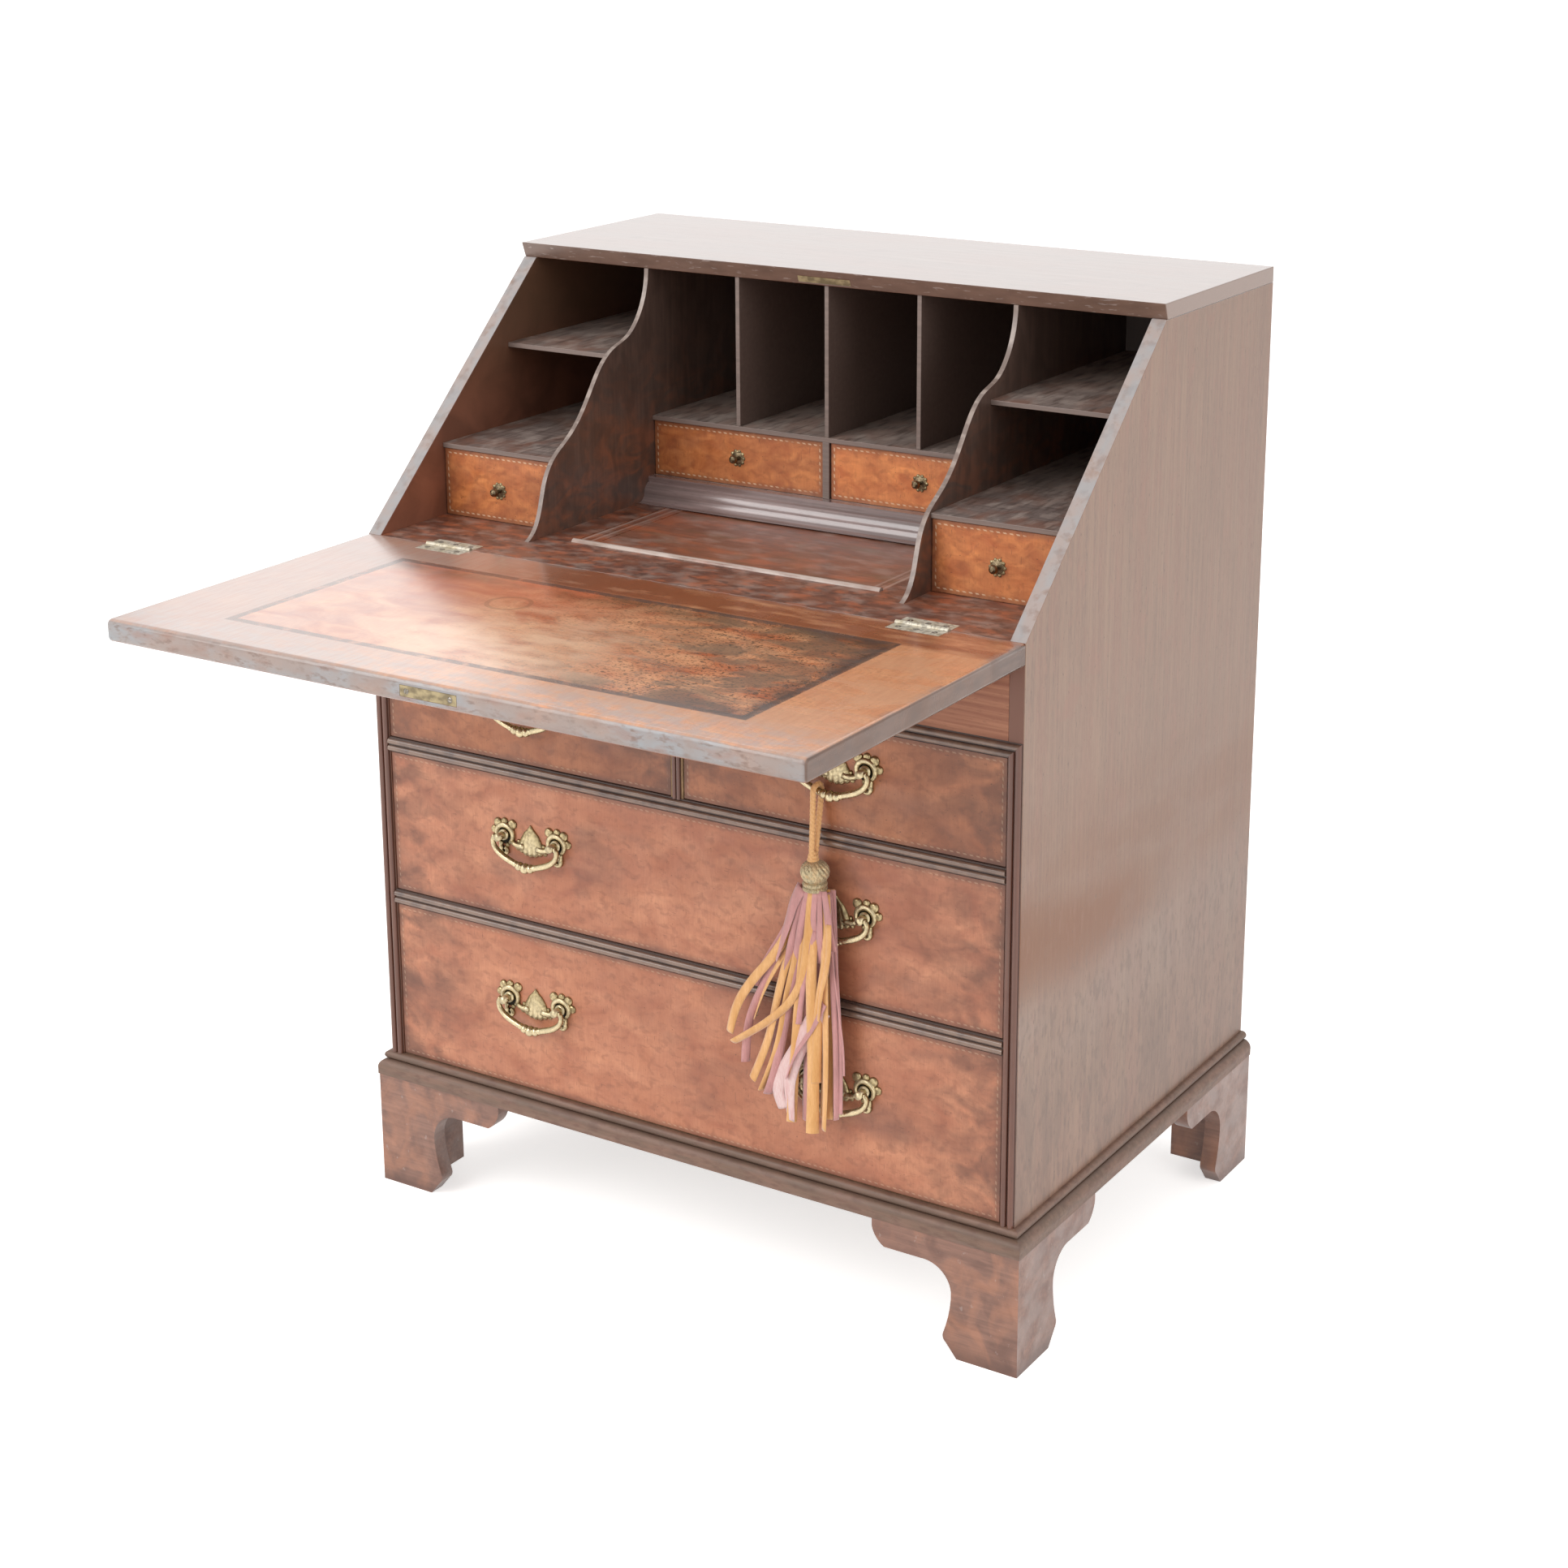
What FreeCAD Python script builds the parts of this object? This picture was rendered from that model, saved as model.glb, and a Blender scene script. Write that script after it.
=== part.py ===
import FreeCAD, Part
import math
import os
from FreeCAD import Placement, Rotation, Vector

# Slant-front writing bureau in walnut, drawn open: the fall lies flat on two
# pulled-out lopers. Millimetres, +Z up, +X to the bureau's left as you sit at
# it turned round, that is to the right in a front view, and +Y to the back.
# The origin is on the floor, under the middle of the open bureau.

# Carcass
carcass_width = 762.0
side_thickness = 16.0
top_thickness = 16.0
back_thickness = 10.0
floor_thickness = 18.0
desk_thickness = 16.0
foot_height = 126.0
base_height = 26.0
rail_height = 16.0
rail_depth = 60.0
lower_opening = 174.5
upper_opening = 155.0
short_opening = 107.0
frieze_height = 78.5
frieze_thickness = 16.0
slope_depth = 276.0
top_depth = 254.0
slope_rise = 249.0
top_lean = 6.0
top_setback = 2.0
partition_thickness = 14.0
partition_back_gap = 30.0
runner_width = 20.0
centre_runner_width = 40.0
runner_end_gap = 20.0
dust_thickness = 6.0
well_bottom_thickness = 9.0

# Applied mouldings
strip_base = 0.8
strip_width = 15.0
strip_bead_radius = 3.2
strip_bead_pitch = 7.4
divider_strip_width = 10.0
divider_bead_radius = 2.2
divider_bead_pitch = 4.9
base_reach = 12.0
base_bead_radius = 4.5
base_bead_seat = 2.0
base_cove_seat = 5.0
base_fillet = 6.0

# Bracket feet
foot_setback = 1.0
foot_board = 18.0
foot_wing = 162.0
foot_block = 44.0
foot_ankle = 73.0
foot_toe = 81.0
foot_sole = 66.0
wing_drop = 28.0
back_wing = 112.0
back_brace_sole = 34.0
back_brace_drop = 14.0

# Fall and its furniture
fall_thickness = 22.0
fall_top_gap = 0.7
fall_edge_radius = 5.5
fall_end_radius = 3.5
hinge_gap = 0.8
hinge_inset = 106.0
hinge_length = 56.0
hinge_leaf_width = 20.0
hinge_leaf_thickness = 2.0
hinge_barrel_radius = 2.6
hinge_pin_radius = 1.2
hinge_pin_play = 0.1
knuckle_gap = 0.3
hinge_knuckle_share = 0.36
hinge_let_in = 0.2
lock_width = 56.0
lock_depth = 40.0
lock_thickness = 9.0
lock_plate_width = 62.0
lock_plate_height = 10.0
lock_plate_thickness = 1.5
lock_let_in = 0.3
keyhole_radius = 3.0
keyhole_depth_in = 22.0

# Lopers, the two slides that hold the fall
loper_width = 20.0
loper_height = 30.0
loper_length = 400.0
loper_reach = 260.0
loper_inset = 50.0
loper_play = 0.5
rest_gap = 0.3
housing_wall = 12.0
housing_floor = 10.0
pull_radius = 6.5
pull_neck_radius = 3.5
pull_length = 14.0

# Drawers of the carcass
drawer_gap = 1.0
drawer_recess = 1.0
drawer_front_thickness = 18.0
drawer_side_thickness = 8.0
drawer_back_thickness = 8.0
drawer_bottom_thickness = 5.0
drawer_bottom_lift = 4.0
drawer_back_gap = 50.0
drawer_side_play = 1.5
drawer_box_drop = 6.0
drawer_travel = 340.0

# Swan-neck bail handles on pierced plates, sized for one handle
handle_offset = 183.0
handle_post_half = 33.0
handle_post_rise = 14.0
handle_post_radius = 4.0
handle_boss_radius = 5.6
handle_boss_height = 3.0
handle_stand = 10.0
plate_thickness = 2.0
bolt_radius = 2.5
bolt_play = 0.2
nut_radius = 5.0
nut_height = 3.0
bail_radius = 2.3
bail_pin_radius = 1.6
bail_pin_play = 0.1
bail_shoulder_gap = 0.8
bail_bend_radius = 5.0
bail_sweep_radius = 24.0
bail_sweep_angle = 65.0
bail_bottom_radius = 9.0
bail_drop_radius = 3.9
bail_bead_radius = 3.2
bail_bead_shift = 7.5
rosette_radius = 12.0
rosette_lobe_radius = 5.6
rosette_pierce_radius = 2.6
foot_lobe_radius = 6.0
fan_half_width = 15.0
fan_height = 13.5
fan_scallop_radius = 4.4
fan_bottom = 12.5
strap_width = 6.0

# Desk interior
divider_thickness = 5.0
bay_share = 0.596
thin_shelf = 5.0
side_drawer_height = 72.0
side_drawer_setback = 108.0
side_drawer_depth = 230.0
side_shelf_setback = 106.0
upper_shelf_lift = 160.0
upper_shelf_setback = 222.0
step_height = 26.0
step_depth = 30.0
step_stand_off = 26.0
step_lip = 6.0
bed_thickness = 5.0
centre_drawer_height = 60.0
centre_drawer_inset = 6.0
centre_drawer_back_gap = 23.0
centre_divider_thickness = 8.0
pigeonhole_floor_inset = 3.0
pigeonhole_inset = 5.0
small_drawer_gap = 0.6
small_drawer_front = 10.0
small_drawer_wall = 6.0
small_drawer_floor = 4.0
side_drawer_travel = 100.0
centre_drawer_travel = 150.0
knob_rosette_radius = 7.0
knob_rosette_height = 2.0
knob_neck_radius = 2.2
knob_ball_radius = 4.6
knob_reach = 13.0

# Sliding cover of the well
well_margin = 35.5
well_setback = 80.0
cover_thickness = 10.0
cover_sink = 0.6
cover_play = 0.5
cover_stop = 4.0
cover_lip_depth = 8.0
cover_lip_rise = 3.0
cover_field_margin = 22.0
cover_field_sink = 0.8
cover_runner_ledge = 10.0
cover_runner_thickness = 8.0
cover_runner_seat = 18.0

# Key tassel on the right short drawer's handle
tassel_shift = -14.5
tassel_lean = 2.0
cord_diameter = 6.0
tassel_stand = 18.5
tassel_head_radius = 16.5
tassel_head_drop = 59.0
tassel_head_height = 38.0
skirt_length = 246.0
skirt_depth = 14.0
skirt_reach_left = 97.0
skirt_reach_right = 36.0
skirt_gap = 0.5

# How far a bail lifts, in degrees
bail_swing = 82.0

# Levels and planes that follow
half_width = carcass_width / 2
carcass_depth = slope_depth + top_depth
inner_depth = carcass_depth - back_thickness
partition_depth = inner_depth - partition_back_gap
drawer_depth = inner_depth - drawer_back_gap
inner_half = half_width - side_thickness
bay_half_width = inner_half * bay_share
well_half_width = bay_half_width - well_margin
slope_length = math.hypot(slope_depth, slope_rise)
fall_swing = 180 - math.degrees(math.atan2(slope_rise, slope_depth))
fall_length = slope_length - fall_top_gap
step_setback = slope_depth - step_stand_off
centre_drawer_setback = slope_depth + centre_drawer_inset
centre_drawer_depth = inner_depth - centre_drawer_setback - centre_drawer_back_gap
pigeonhole_floor_setback = slope_depth + pigeonhole_floor_inset
pigeonhole_setback = slope_depth + pigeonhole_inset
cover_length = step_setback + step_depth - well_setback
cover_travel = step_setback - well_setback - cover_lip_depth - cover_stop
front_y = (hinge_gap + fall_length - carcass_depth) / 2
back_y = front_y + carcass_depth
inner_back_y = front_y + inner_depth
base_top_z = foot_height + base_height
rail_lower_z = base_top_z + lower_opening
rail_middle_z = rail_lower_z + rail_height + upper_opening
rail_upper_z = rail_middle_z + rail_height + short_opening
frieze_z = rail_upper_z + rail_height
desk_under_z = frieze_z + frieze_height
desk_z = desk_under_z + desk_thickness
top_under_z = desk_z + slope_rise
bureau_height = top_under_z + top_thickness
hinge_x = half_width - hinge_inset
hinge_y = front_y - hinge_gap / 2
fall_front_y = front_y - hinge_gap - fall_length
loper_top_z = desk_z - fall_thickness - rest_gap
loper_x = half_width - loper_inset - loper_width / 2
drawer_face_y = front_y + drawer_recess
bail_y = drawer_face_y - plate_thickness - handle_stand
overrun = top_thickness


def box(x0, x1, y0, y1, z0, z1):
    """A board between two corners, given in any order."""
    xs, ys, zs = sorted((x0, x1)), sorted((y0, y1)), sorted((z0, z1))
    size = (xs[1] - xs[0], ys[1] - ys[0], zs[1] - zs[0])
    return Part.makeBox(*size, Vector(xs[0], ys[0], zs[0]))


def rod(radius, start, end):
    """A round bar from one point to another."""
    axis = end - start
    return Part.makeCylinder(radius, axis.Length, start, axis)


def prism_yz(points, x0, x1):
    """A polygon in the side view, as thick as from x0 to x1."""
    wire = Part.makePolygon([Vector(x0, y, z) for y, z in points + points[:1]])
    return Part.Face(wire).extrude(Vector(x1 - x0, 0, 0))


def prism_xz(points, y0, y1):
    """A polygon in the front view, as deep as from y0 to y1."""
    wire = Part.makePolygon([Vector(x, y0, z) for x, z in points + points[:1]])
    return Part.Face(wire).extrude(Vector(0, y1 - y0, 0))


def extrude_edges(edges, along):
    """A closed outline of edges, pushed along a vector."""
    return Part.Face(Part.Wire(edges)).extrude(along)


def mirror_x(shape):
    """The same piece on the other side of the bureau."""
    return shape.mirror(Vector(0, 0, 0), Vector(1, 0, 0))


def both_sides(shape):
    """A piece and its mirror image."""
    return [shape, mirror_x(shape)]


def arc(start, middle, end):
    """An arc through three points."""
    return Part.Arc(start, middle, end).toShape()


def line(start, end):
    """A straight edge."""
    return Part.LineSegment(start, end).toShape()


def union(shapes):
    """Glued-up pieces that are one solid."""
    return shapes[0].multiFuse(shapes[1:]).removeSplitter()


def turned(profile, centre):
    """A turned piece with its axis along Y: radius and reach towards the front."""
    points = [centre + Vector(radius, -reach, 0) for radius, reach in profile]
    points = [centre + Vector(0, -profile[0][1], 0)] + points
    points = points + [centre + Vector(0, -profile[-1][1], 0)]
    face = Part.Face(Part.makePolygon(points + points[:1]))
    return face.revolve(centre, Vector(0, 1, 0), 360)


def save(name, shapes):
    """Writes one node, of one piece or of a few alike."""
    pieces = shapes if isinstance(shapes, list) else [shapes]
    shape = pieces[0] if len(pieces) == 1 else Part.makeCompound(pieces)
    shape.exportStep(os.path.join("parts", name + ".step"))


# Carcass boards


def side_board():
    """Right-hand side, with the sloping front edge that the fall shuts on."""
    outline = [
        (front_y, foot_height),
        (back_y, foot_height),
        (back_y, top_under_z),
        (front_y + slope_depth, top_under_z),
        (front_y, desk_z),
    ]
    return prism_yz(outline, inner_half, half_width)


def strike_outline(depth, height):
    """The leaning front edge of the top, as a strip let in to a depth."""
    lean = top_lean / top_thickness
    foot_y = front_y + slope_depth + top_setback
    low, high = top_thickness / 8, top_thickness / 8 + height
    face = [(foot_y - lean * rise, top_under_z + rise) for rise in (low, high)]
    return face + [(y + depth, z) for y, z in reversed(face)]


def lock_strike():
    """Thin brass strike for the fall's lock."""
    half = lock_plate_width / 2
    height = lock_plate_height - fall_end_radius
    return prism_yz(strike_outline(lock_plate_thickness, height), -half, half)


def top_board():
    """Top, over both sides, with a front edge that leans back at its foot."""
    foot_y = front_y + slope_depth + top_setback
    outline = [
        (foot_y, top_under_z),
        (back_y, top_under_z),
        (back_y, bureau_height),
        (foot_y - top_lean, bureau_height),
    ]
    board = prism_yz(outline, -half_width, half_width)
    return board.cut(lock_strike())


def back_panel():
    """Back, between the sides."""
    return box(-inner_half, inner_half, inner_back_y, back_y, foot_height, top_under_z)


def bottom_board():
    """Floor of the carcass, which the lower drawer runs on."""
    low = base_top_z - floor_thickness
    return box(-inner_half, inner_half, front_y, inner_back_y, low, base_top_z)


def hinge_recess(side):
    """The leaf beds and the groove for the barrel of one hinge."""
    centre = side * hinge_x
    half = hinge_length / 2 + hinge_let_in
    reach = hinge_leaf_width + hinge_let_in
    low = desk_z - hinge_leaf_thickness - hinge_let_in
    bed = box(centre - half, centre + half, hinge_y - reach, hinge_y + reach, low, desk_z + overrun)
    start = Vector(centre - half, hinge_y, desk_z)
    groove = rod(hinge_barrel_radius + 2 * hinge_let_in, start, start + Vector(2 * half, 0, 0))
    return bed.fuse(groove)


def desk_floor():
    """Writing level inside, with the way into the well and room to slide its cover."""
    board = box(-inner_half, inner_half, front_y, inner_back_y, desk_under_z, desk_z)
    way_end = front_y + well_setback + cover_length + cover_travel + cover_play
    half = well_half_width
    way = box(-half, half, front_y + well_setback, way_end, desk_under_z, desk_z)
    return board.cut(way).cut(hinge_recess(1)).cut(hinge_recess(-1))


def frieze_panel():
    """Front of the well, with a hole for each loper."""
    back = front_y + frieze_thickness
    panel = box(-inner_half, inner_half, front_y, back, frieze_z, desk_under_z)
    half = loper_width / 2 + loper_play
    low = loper_top_z - loper_height - rest_gap
    for side in (1, -1):
        centre = side * loper_x
        hole = box(centre - half, centre + half, front_y, back, low, loper_top_z + loper_play)
        panel = panel.cut(hole)
    return panel


def drawer_rails():
    """Three rails between the drawers, all alike."""
    rear = front_y + rail_depth
    levels = (rail_lower_z, rail_middle_z, rail_upper_z)
    return [box(-inner_half, inner_half, front_y, rear, z, z + rail_height) for z in levels]


def drawer_runners():
    """Bearers behind the lower and middle rails, which the drawer sides run on."""
    start, end = front_y + rail_depth, inner_back_y - runner_end_gap
    half = centre_runner_width / 2
    pieces = []
    for z in (rail_lower_z, rail_middle_z):
        inner = inner_half - runner_width
        pieces += both_sides(box(inner, inner_half, start, end, z, z + rail_height))
    centre = box(-half, half, start, end, rail_middle_z, rail_middle_z + rail_height)
    return pieces + [centre]


def dust_boards():
    """Thin boards behind the rails; the top one is the bottom of the well."""
    start, end = front_y + rail_depth, inner_back_y
    inner = inner_half - runner_width
    low = rail_lower_z + (rail_height - dust_thickness) / 2
    mid = rail_middle_z + (rail_height - dust_thickness) / 2
    well_low = frieze_z - well_bottom_thickness
    pieces = [box(-inner_half, inner_half, start, end, well_low, frieze_z)]
    pieces.append(box(-inner, inner, start, end, low, low + dust_thickness))
    half = centre_runner_width / 2
    pieces += both_sides(box(half, inner, start, end, mid, mid + dust_thickness))
    return pieces


def short_drawer_partition():
    """Upright board between the two short drawers."""
    half = partition_thickness / 2
    end = front_y + partition_depth
    return box(-half, half, front_y, end, rail_middle_z + rail_height, rail_upper_z)


def loper_housing():
    """Trough for one loper, whose inner wall is also a side of the well."""
    inner = loper_x - loper_width / 2 - loper_play
    outer = loper_x + loper_width / 2 + loper_play
    start = front_y + frieze_thickness
    end = start + loper_length
    floor_top = loper_top_z - loper_height - rest_gap
    walls = box(inner - housing_wall, inner, start, end, frieze_z, desk_under_z)
    outer_wall = box(outer, outer + housing_wall, start, end, frieze_z, desk_under_z)
    floor = box(inner, outer, start, end, floor_top - housing_floor, floor_top)
    return union([walls, outer_wall, floor])


# Applied mouldings


def strip_outline(width, radius, pitch):
    """Two half-round beads on a thin strip, across the strip and outwards."""
    def at(across, out):
        return Vector(across, -out, 0)

    half = width / 2
    edges = [line(at(-half, 0), at(-half, strip_base))]
    cursor = at(-half, strip_base)
    for centre in (-pitch / 2, pitch / 2):
        start = at(centre - radius, strip_base)
        end = at(centre + radius, strip_base)
        edges.append(line(cursor, start))
        edges.append(arc(start, at(centre, strip_base + radius), end))
        cursor = end
    edges.append(line(cursor, at(half, strip_base)))
    edges.append(line(at(half, strip_base), at(half, 0)))
    edges.append(line(at(half, 0), at(-half, 0)))
    return edges


def upright_strip(centre, low, high, width, radius, pitch):
    """A double-beaded strip up the front face."""
    strip = extrude_edges(strip_outline(width, radius, pitch), Vector(0, 0, high - low))
    return strip.translated(Vector(centre, front_y, low))


def rail_strip(half, middle_z):
    """A double-beaded strip along a rail."""
    outline = strip_outline(strip_width, strip_bead_radius, strip_bead_pitch)
    strip = extrude_edges(outline, Vector(0, 0, 2 * half))
    strip.rotate(Vector(0, 0, 0), Vector(0, 1, 0), 90)
    return strip.translated(Vector(-half, front_y, middle_z))


def mitre(side):
    """The wedge outside the mitre at a top corner of the beaded frame."""
    corner_x, corner_z = inner_half, rail_upper_z + (rail_height - strip_width) / 2
    reach = rail_height + side_thickness
    points = [(corner_x, corner_z), (corner_x + reach, corner_z + reach), (corner_x + reach, corner_z)]
    wedge = prism_xz(points, front_y - reach, front_y + reach)
    return wedge if side > 0 else mirror_x(wedge)


def rail_beads():
    """Beaded strips on the three rails; the top one is mitred to the uprights."""
    inner = half_width - strip_width - (side_thickness - strip_width) / 2
    strips = [rail_strip(inner, z + rail_height / 2) for z in (rail_lower_z, rail_middle_z)]
    top = rail_strip(inner + strip_width, rail_upper_z + rail_height / 2)
    return strips + [top.cut(mitre(1)).cut(mitre(-1))]


def upright_beads():
    """Beaded strips up both sides and between the short drawers."""
    centre = half_width - side_thickness / 2
    high = rail_upper_z + (rail_height + strip_width) / 2
    sizes = (strip_width, strip_bead_radius, strip_bead_pitch)
    side = upright_strip(centre, base_top_z, high, *sizes).common(mitred_side())
    low = rail_middle_z + (rail_height + strip_width) / 2
    top = rail_upper_z + (rail_height - strip_width) / 2
    sizes = (divider_strip_width, divider_bead_radius, divider_bead_pitch)
    return both_sides(side) + [upright_strip(0, low, top, *sizes)]


def mitred_side():
    """Room of an upright strip: below its mitre with the top rail's strip."""
    corner_x, corner_z = inner_half, rail_upper_z + (rail_height - strip_width) / 2
    reach = rail_height + side_thickness
    points = [(corner_x, foot_height), (corner_x, corner_z)]
    points += [(corner_x + reach, corner_z + reach), (corner_x + reach, foot_height)]
    return prism_xz(points, front_y - reach, front_y + reach)


def base_outline():
    """Base moulding in section, outwards and up: fillet, ovolo and bead."""
    def at(out, up):
        return Vector(0, -out, up)

    bead_low = base_height - 2 * base_bead_radius
    drop = bead_low - base_fillet
    width = base_reach - base_cove_seat
    bend = math.sqrt(0.5)
    ovolo_middle = at(base_cove_seat + width * bend, base_fillet + drop * bend)
    bead_middle = at(base_bead_seat + base_bead_radius, base_height - base_bead_radius)
    return [
        line(at(0, 0), at(base_reach, 0)),
        line(at(base_reach, 0), at(base_reach, base_fillet)),
        arc(at(base_reach, base_fillet), ovolo_middle, at(base_cove_seat, bead_low)),
        line(at(base_cove_seat, bead_low), at(base_bead_seat, bead_low)),
        arc(at(base_bead_seat, bead_low), bead_middle, at(base_bead_seat, base_height)),
        line(at(base_bead_seat, base_height), at(0, base_height)),
        line(at(0, base_height), at(0, 0)),
    ]


def base_moulding():
    """Base moulding round the front and both sides, mitred at the front corners."""
    length = carcass_width + 2 * base_reach
    front = extrude_edges(base_outline(), Vector(length, 0, 0))
    front.translate(Vector(-length / 2, front_y, foot_height))
    run = extrude_edges(base_outline(), Vector(carcass_depth + base_reach, 0, 0))
    run.rotate(Vector(0, 0, 0), Vector(0, 0, 1), 90)
    run.translate(Vector(half_width, front_y - base_reach, foot_height))
    reach = 2 * base_reach
    corner = [(half_width - reach, front_y + reach), (half_width + reach, front_y - reach)]
    wedge = mitre_floor(corner + [(half_width + reach, front_y + reach)])
    opposite = mitre_floor(corner + [(half_width - reach, front_y - reach)])
    front = front.cut(wedge).cut(mirror_x(wedge))
    return union([front] + both_sides(run.cut(opposite)))


def mitre_floor(points):
    """A wedge seen from above, as tall as the base moulding."""
    low, high = foot_height - overrun, base_top_z + overrun
    wire = Part.makePolygon([Vector(x, y, low) for x, y in points + points[:1]])
    return Part.Face(wire).extrude(Vector(0, 0, high - low))


# Bracket feet


def bracket_edges():
    """One face of a foot: inwards from the corner and up from the floor."""
    def at(inwards, up):
        return Vector(inwards, 0, up)

    wing_z = foot_height - wing_drop
    tip_z = foot_height - wing_drop / 2
    knee = foot_ankle + (foot_wing - foot_ankle) * 0.38
    bend = math.sqrt(0.5)
    ankle_z = foot_height * 0.5
    knee_z = wing_z - (wing_z - ankle_z) * 0.773
    knee_middle = at(knee - (knee - foot_ankle) * bend, wing_z - (wing_z - knee_z) * (1 - bend))
    toe_z = foot_height * 0.2
    tip = foot_wing - wing_drop / 2
    tip_middle = at(foot_wing - wing_drop * 0.12, foot_height - wing_drop * 0.62)
    ogee_middle = at((foot_ankle + foot_toe) / 2, (ankle_z + toe_z) / 2)
    ball_middle = at(foot_toe + (foot_toe - foot_ankle) * 0.05, toe_z - foot_height * 0.04)
    return [
        line(at(0, 0), at(0, foot_height)),
        line(at(0, foot_height), at(foot_wing, foot_height)),
        line(at(foot_wing, foot_height), at(foot_wing, tip_z + wing_drop * 0.2)),
        arc(at(foot_wing, tip_z + wing_drop * 0.2), tip_middle, at(tip, wing_z)),
        line(at(tip, wing_z), at(knee, wing_z)),
        arc(at(knee, wing_z), knee_middle, at(foot_ankle, knee_z)),
        line(at(foot_ankle, knee_z), at(foot_ankle, ankle_z)),
        arc(at(foot_ankle, ankle_z), ogee_shift(ogee_middle), at(foot_toe, toe_z)),
        arc(at(foot_toe, toe_z), ball_middle, at(foot_toe - wing_drop * 0.1, toe_z * 0.6)),
        line(at(foot_toe - wing_drop * 0.1, toe_z * 0.6), at(foot_sole, 0)),
        line(at(foot_sole, 0), at(0, 0)),
    ]


def ogee_shift(point):
    """The middle of the ankle's hollow, drawn in a little."""
    return point - Vector((foot_toe - foot_ankle) / 6, 0, 0)


def front_foot():
    """Right front foot: two bracket faces and the block glued in their corner."""
    board = extrude_edges(bracket_edges(), Vector(0, foot_board, 0))
    front = board.mirror(Vector(0, 0, 0), Vector(1, 0, 0))
    corner_x = half_width + base_reach - foot_setback
    corner_y = front_y - base_reach + foot_setback
    front.translate(Vector(corner_x, corner_y, 0))
    side = extrude_edges(bracket_edges(), Vector(0, foot_board, 0))
    side.rotate(Vector(0, 0, 0), Vector(0, 0, 1), 90)
    side.translate(Vector(corner_x, corner_y, 0))
    return union([front, side] + foot_blocks(corner_x, corner_y, 1))


def foot_blocks(corner_x, corner_y, way):
    """The square block inside a foot, and its top under the bottom board."""
    x1 = corner_x - foot_board
    y0 = corner_y + way * foot_board
    y1 = y0 + way * foot_block
    low = foot_height / 8
    block = box(x1 - foot_block, x1, y0, y1, low, foot_height)
    high = base_top_z - floor_thickness
    inner_y = front_y if way > 0 else inner_back_y
    start = max(y0, inner_y) if way > 0 else min(y0, inner_y)
    cap = box(x1 - foot_block, inner_half, start, y1, foot_height, high)
    return [block, cap]


def back_foot():
    """Right back foot: a bracket face to the side and a plain sloping brace behind."""
    corner_x = half_width + base_reach - foot_setback
    side = extrude_edges(bracket_edges(), Vector(0, foot_board, 0))
    side.rotate(Vector(0, 0, 0), Vector(0, 0, 1), 90)
    side = side.mirror(Vector(0, 0, 0), Vector(0, 1, 0))
    side.translate(Vector(corner_x, back_y, 0))
    x1 = corner_x - foot_board
    brace = prism_xz(
        [
            (x1, 0),
            (x1 - back_brace_sole, 0),
            (x1 - back_brace_sole, foot_height / 3),
            (x1 - back_wing, foot_height - back_brace_drop),
            (x1 - back_wing, foot_height),
            (x1, foot_height),
        ],
        back_y - foot_board,
        back_y,
    )
    return union([side, brace] + foot_blocks(corner_x, back_y, -1))


def bracket_feet():
    """All four feet."""
    return both_sides(front_foot()) + both_sides(back_foot())


# Fall


def fall_panel():
    """The fall, lying open, with rounded front and end edges."""
    low = desk_z - fall_thickness
    panel = box(-half_width, half_width, fall_front_y, front_y - hinge_gap, low, desk_z)
    front_edges = []
    end_edges = []
    for edge in panel.Edges:
        centre = edge.CenterOfMass
        if abs(centre.y - fall_front_y) < hinge_gap and abs(centre.x) < hinge_gap:
            front_edges.append(edge)
    panel = panel.makeFillet(fall_edge_radius, front_edges)
    for edge in panel.Edges:
        centre = edge.CenterOfMass
        level = min(abs(centre.z - low), abs(centre.z - desk_z))
        if abs(abs(centre.x) - half_width) < hinge_gap and level < hinge_gap:
            end_edges.append(edge)
    panel = panel.makeFillet(fall_end_radius, end_edges)
    panel = panel.cut(hinge_recess(1)).cut(hinge_recess(-1))
    return panel.cut(lock_case(lock_let_in)).cut(fall_keyhole())


def fall_keyhole():
    """Keyhole, from the outer face up to the lock."""
    y = fall_front_y + keyhole_depth_in
    middle = desk_z - fall_thickness / 2
    return rod(keyhole_radius, Vector(0, y, desk_z - fall_thickness), Vector(0, y, middle))


def lock_case(play):
    """The lock with its edge plate, or with play the bed that is cut for it."""
    middle = desk_z - fall_thickness / 2
    half = lock_width / 2 + play
    thick = lock_thickness / 2 + play
    rear = fall_front_y + lock_depth + play
    case = box(-half, half, fall_front_y, rear, middle - thick, middle + thick)
    half = lock_plate_width / 2 + play
    high = lock_plate_height / 2 + play
    rear = fall_front_y + lock_plate_thickness + play
    plate = box(-half, half, fall_front_y, rear, middle - high, middle + high)
    return union([case, plate])


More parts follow.
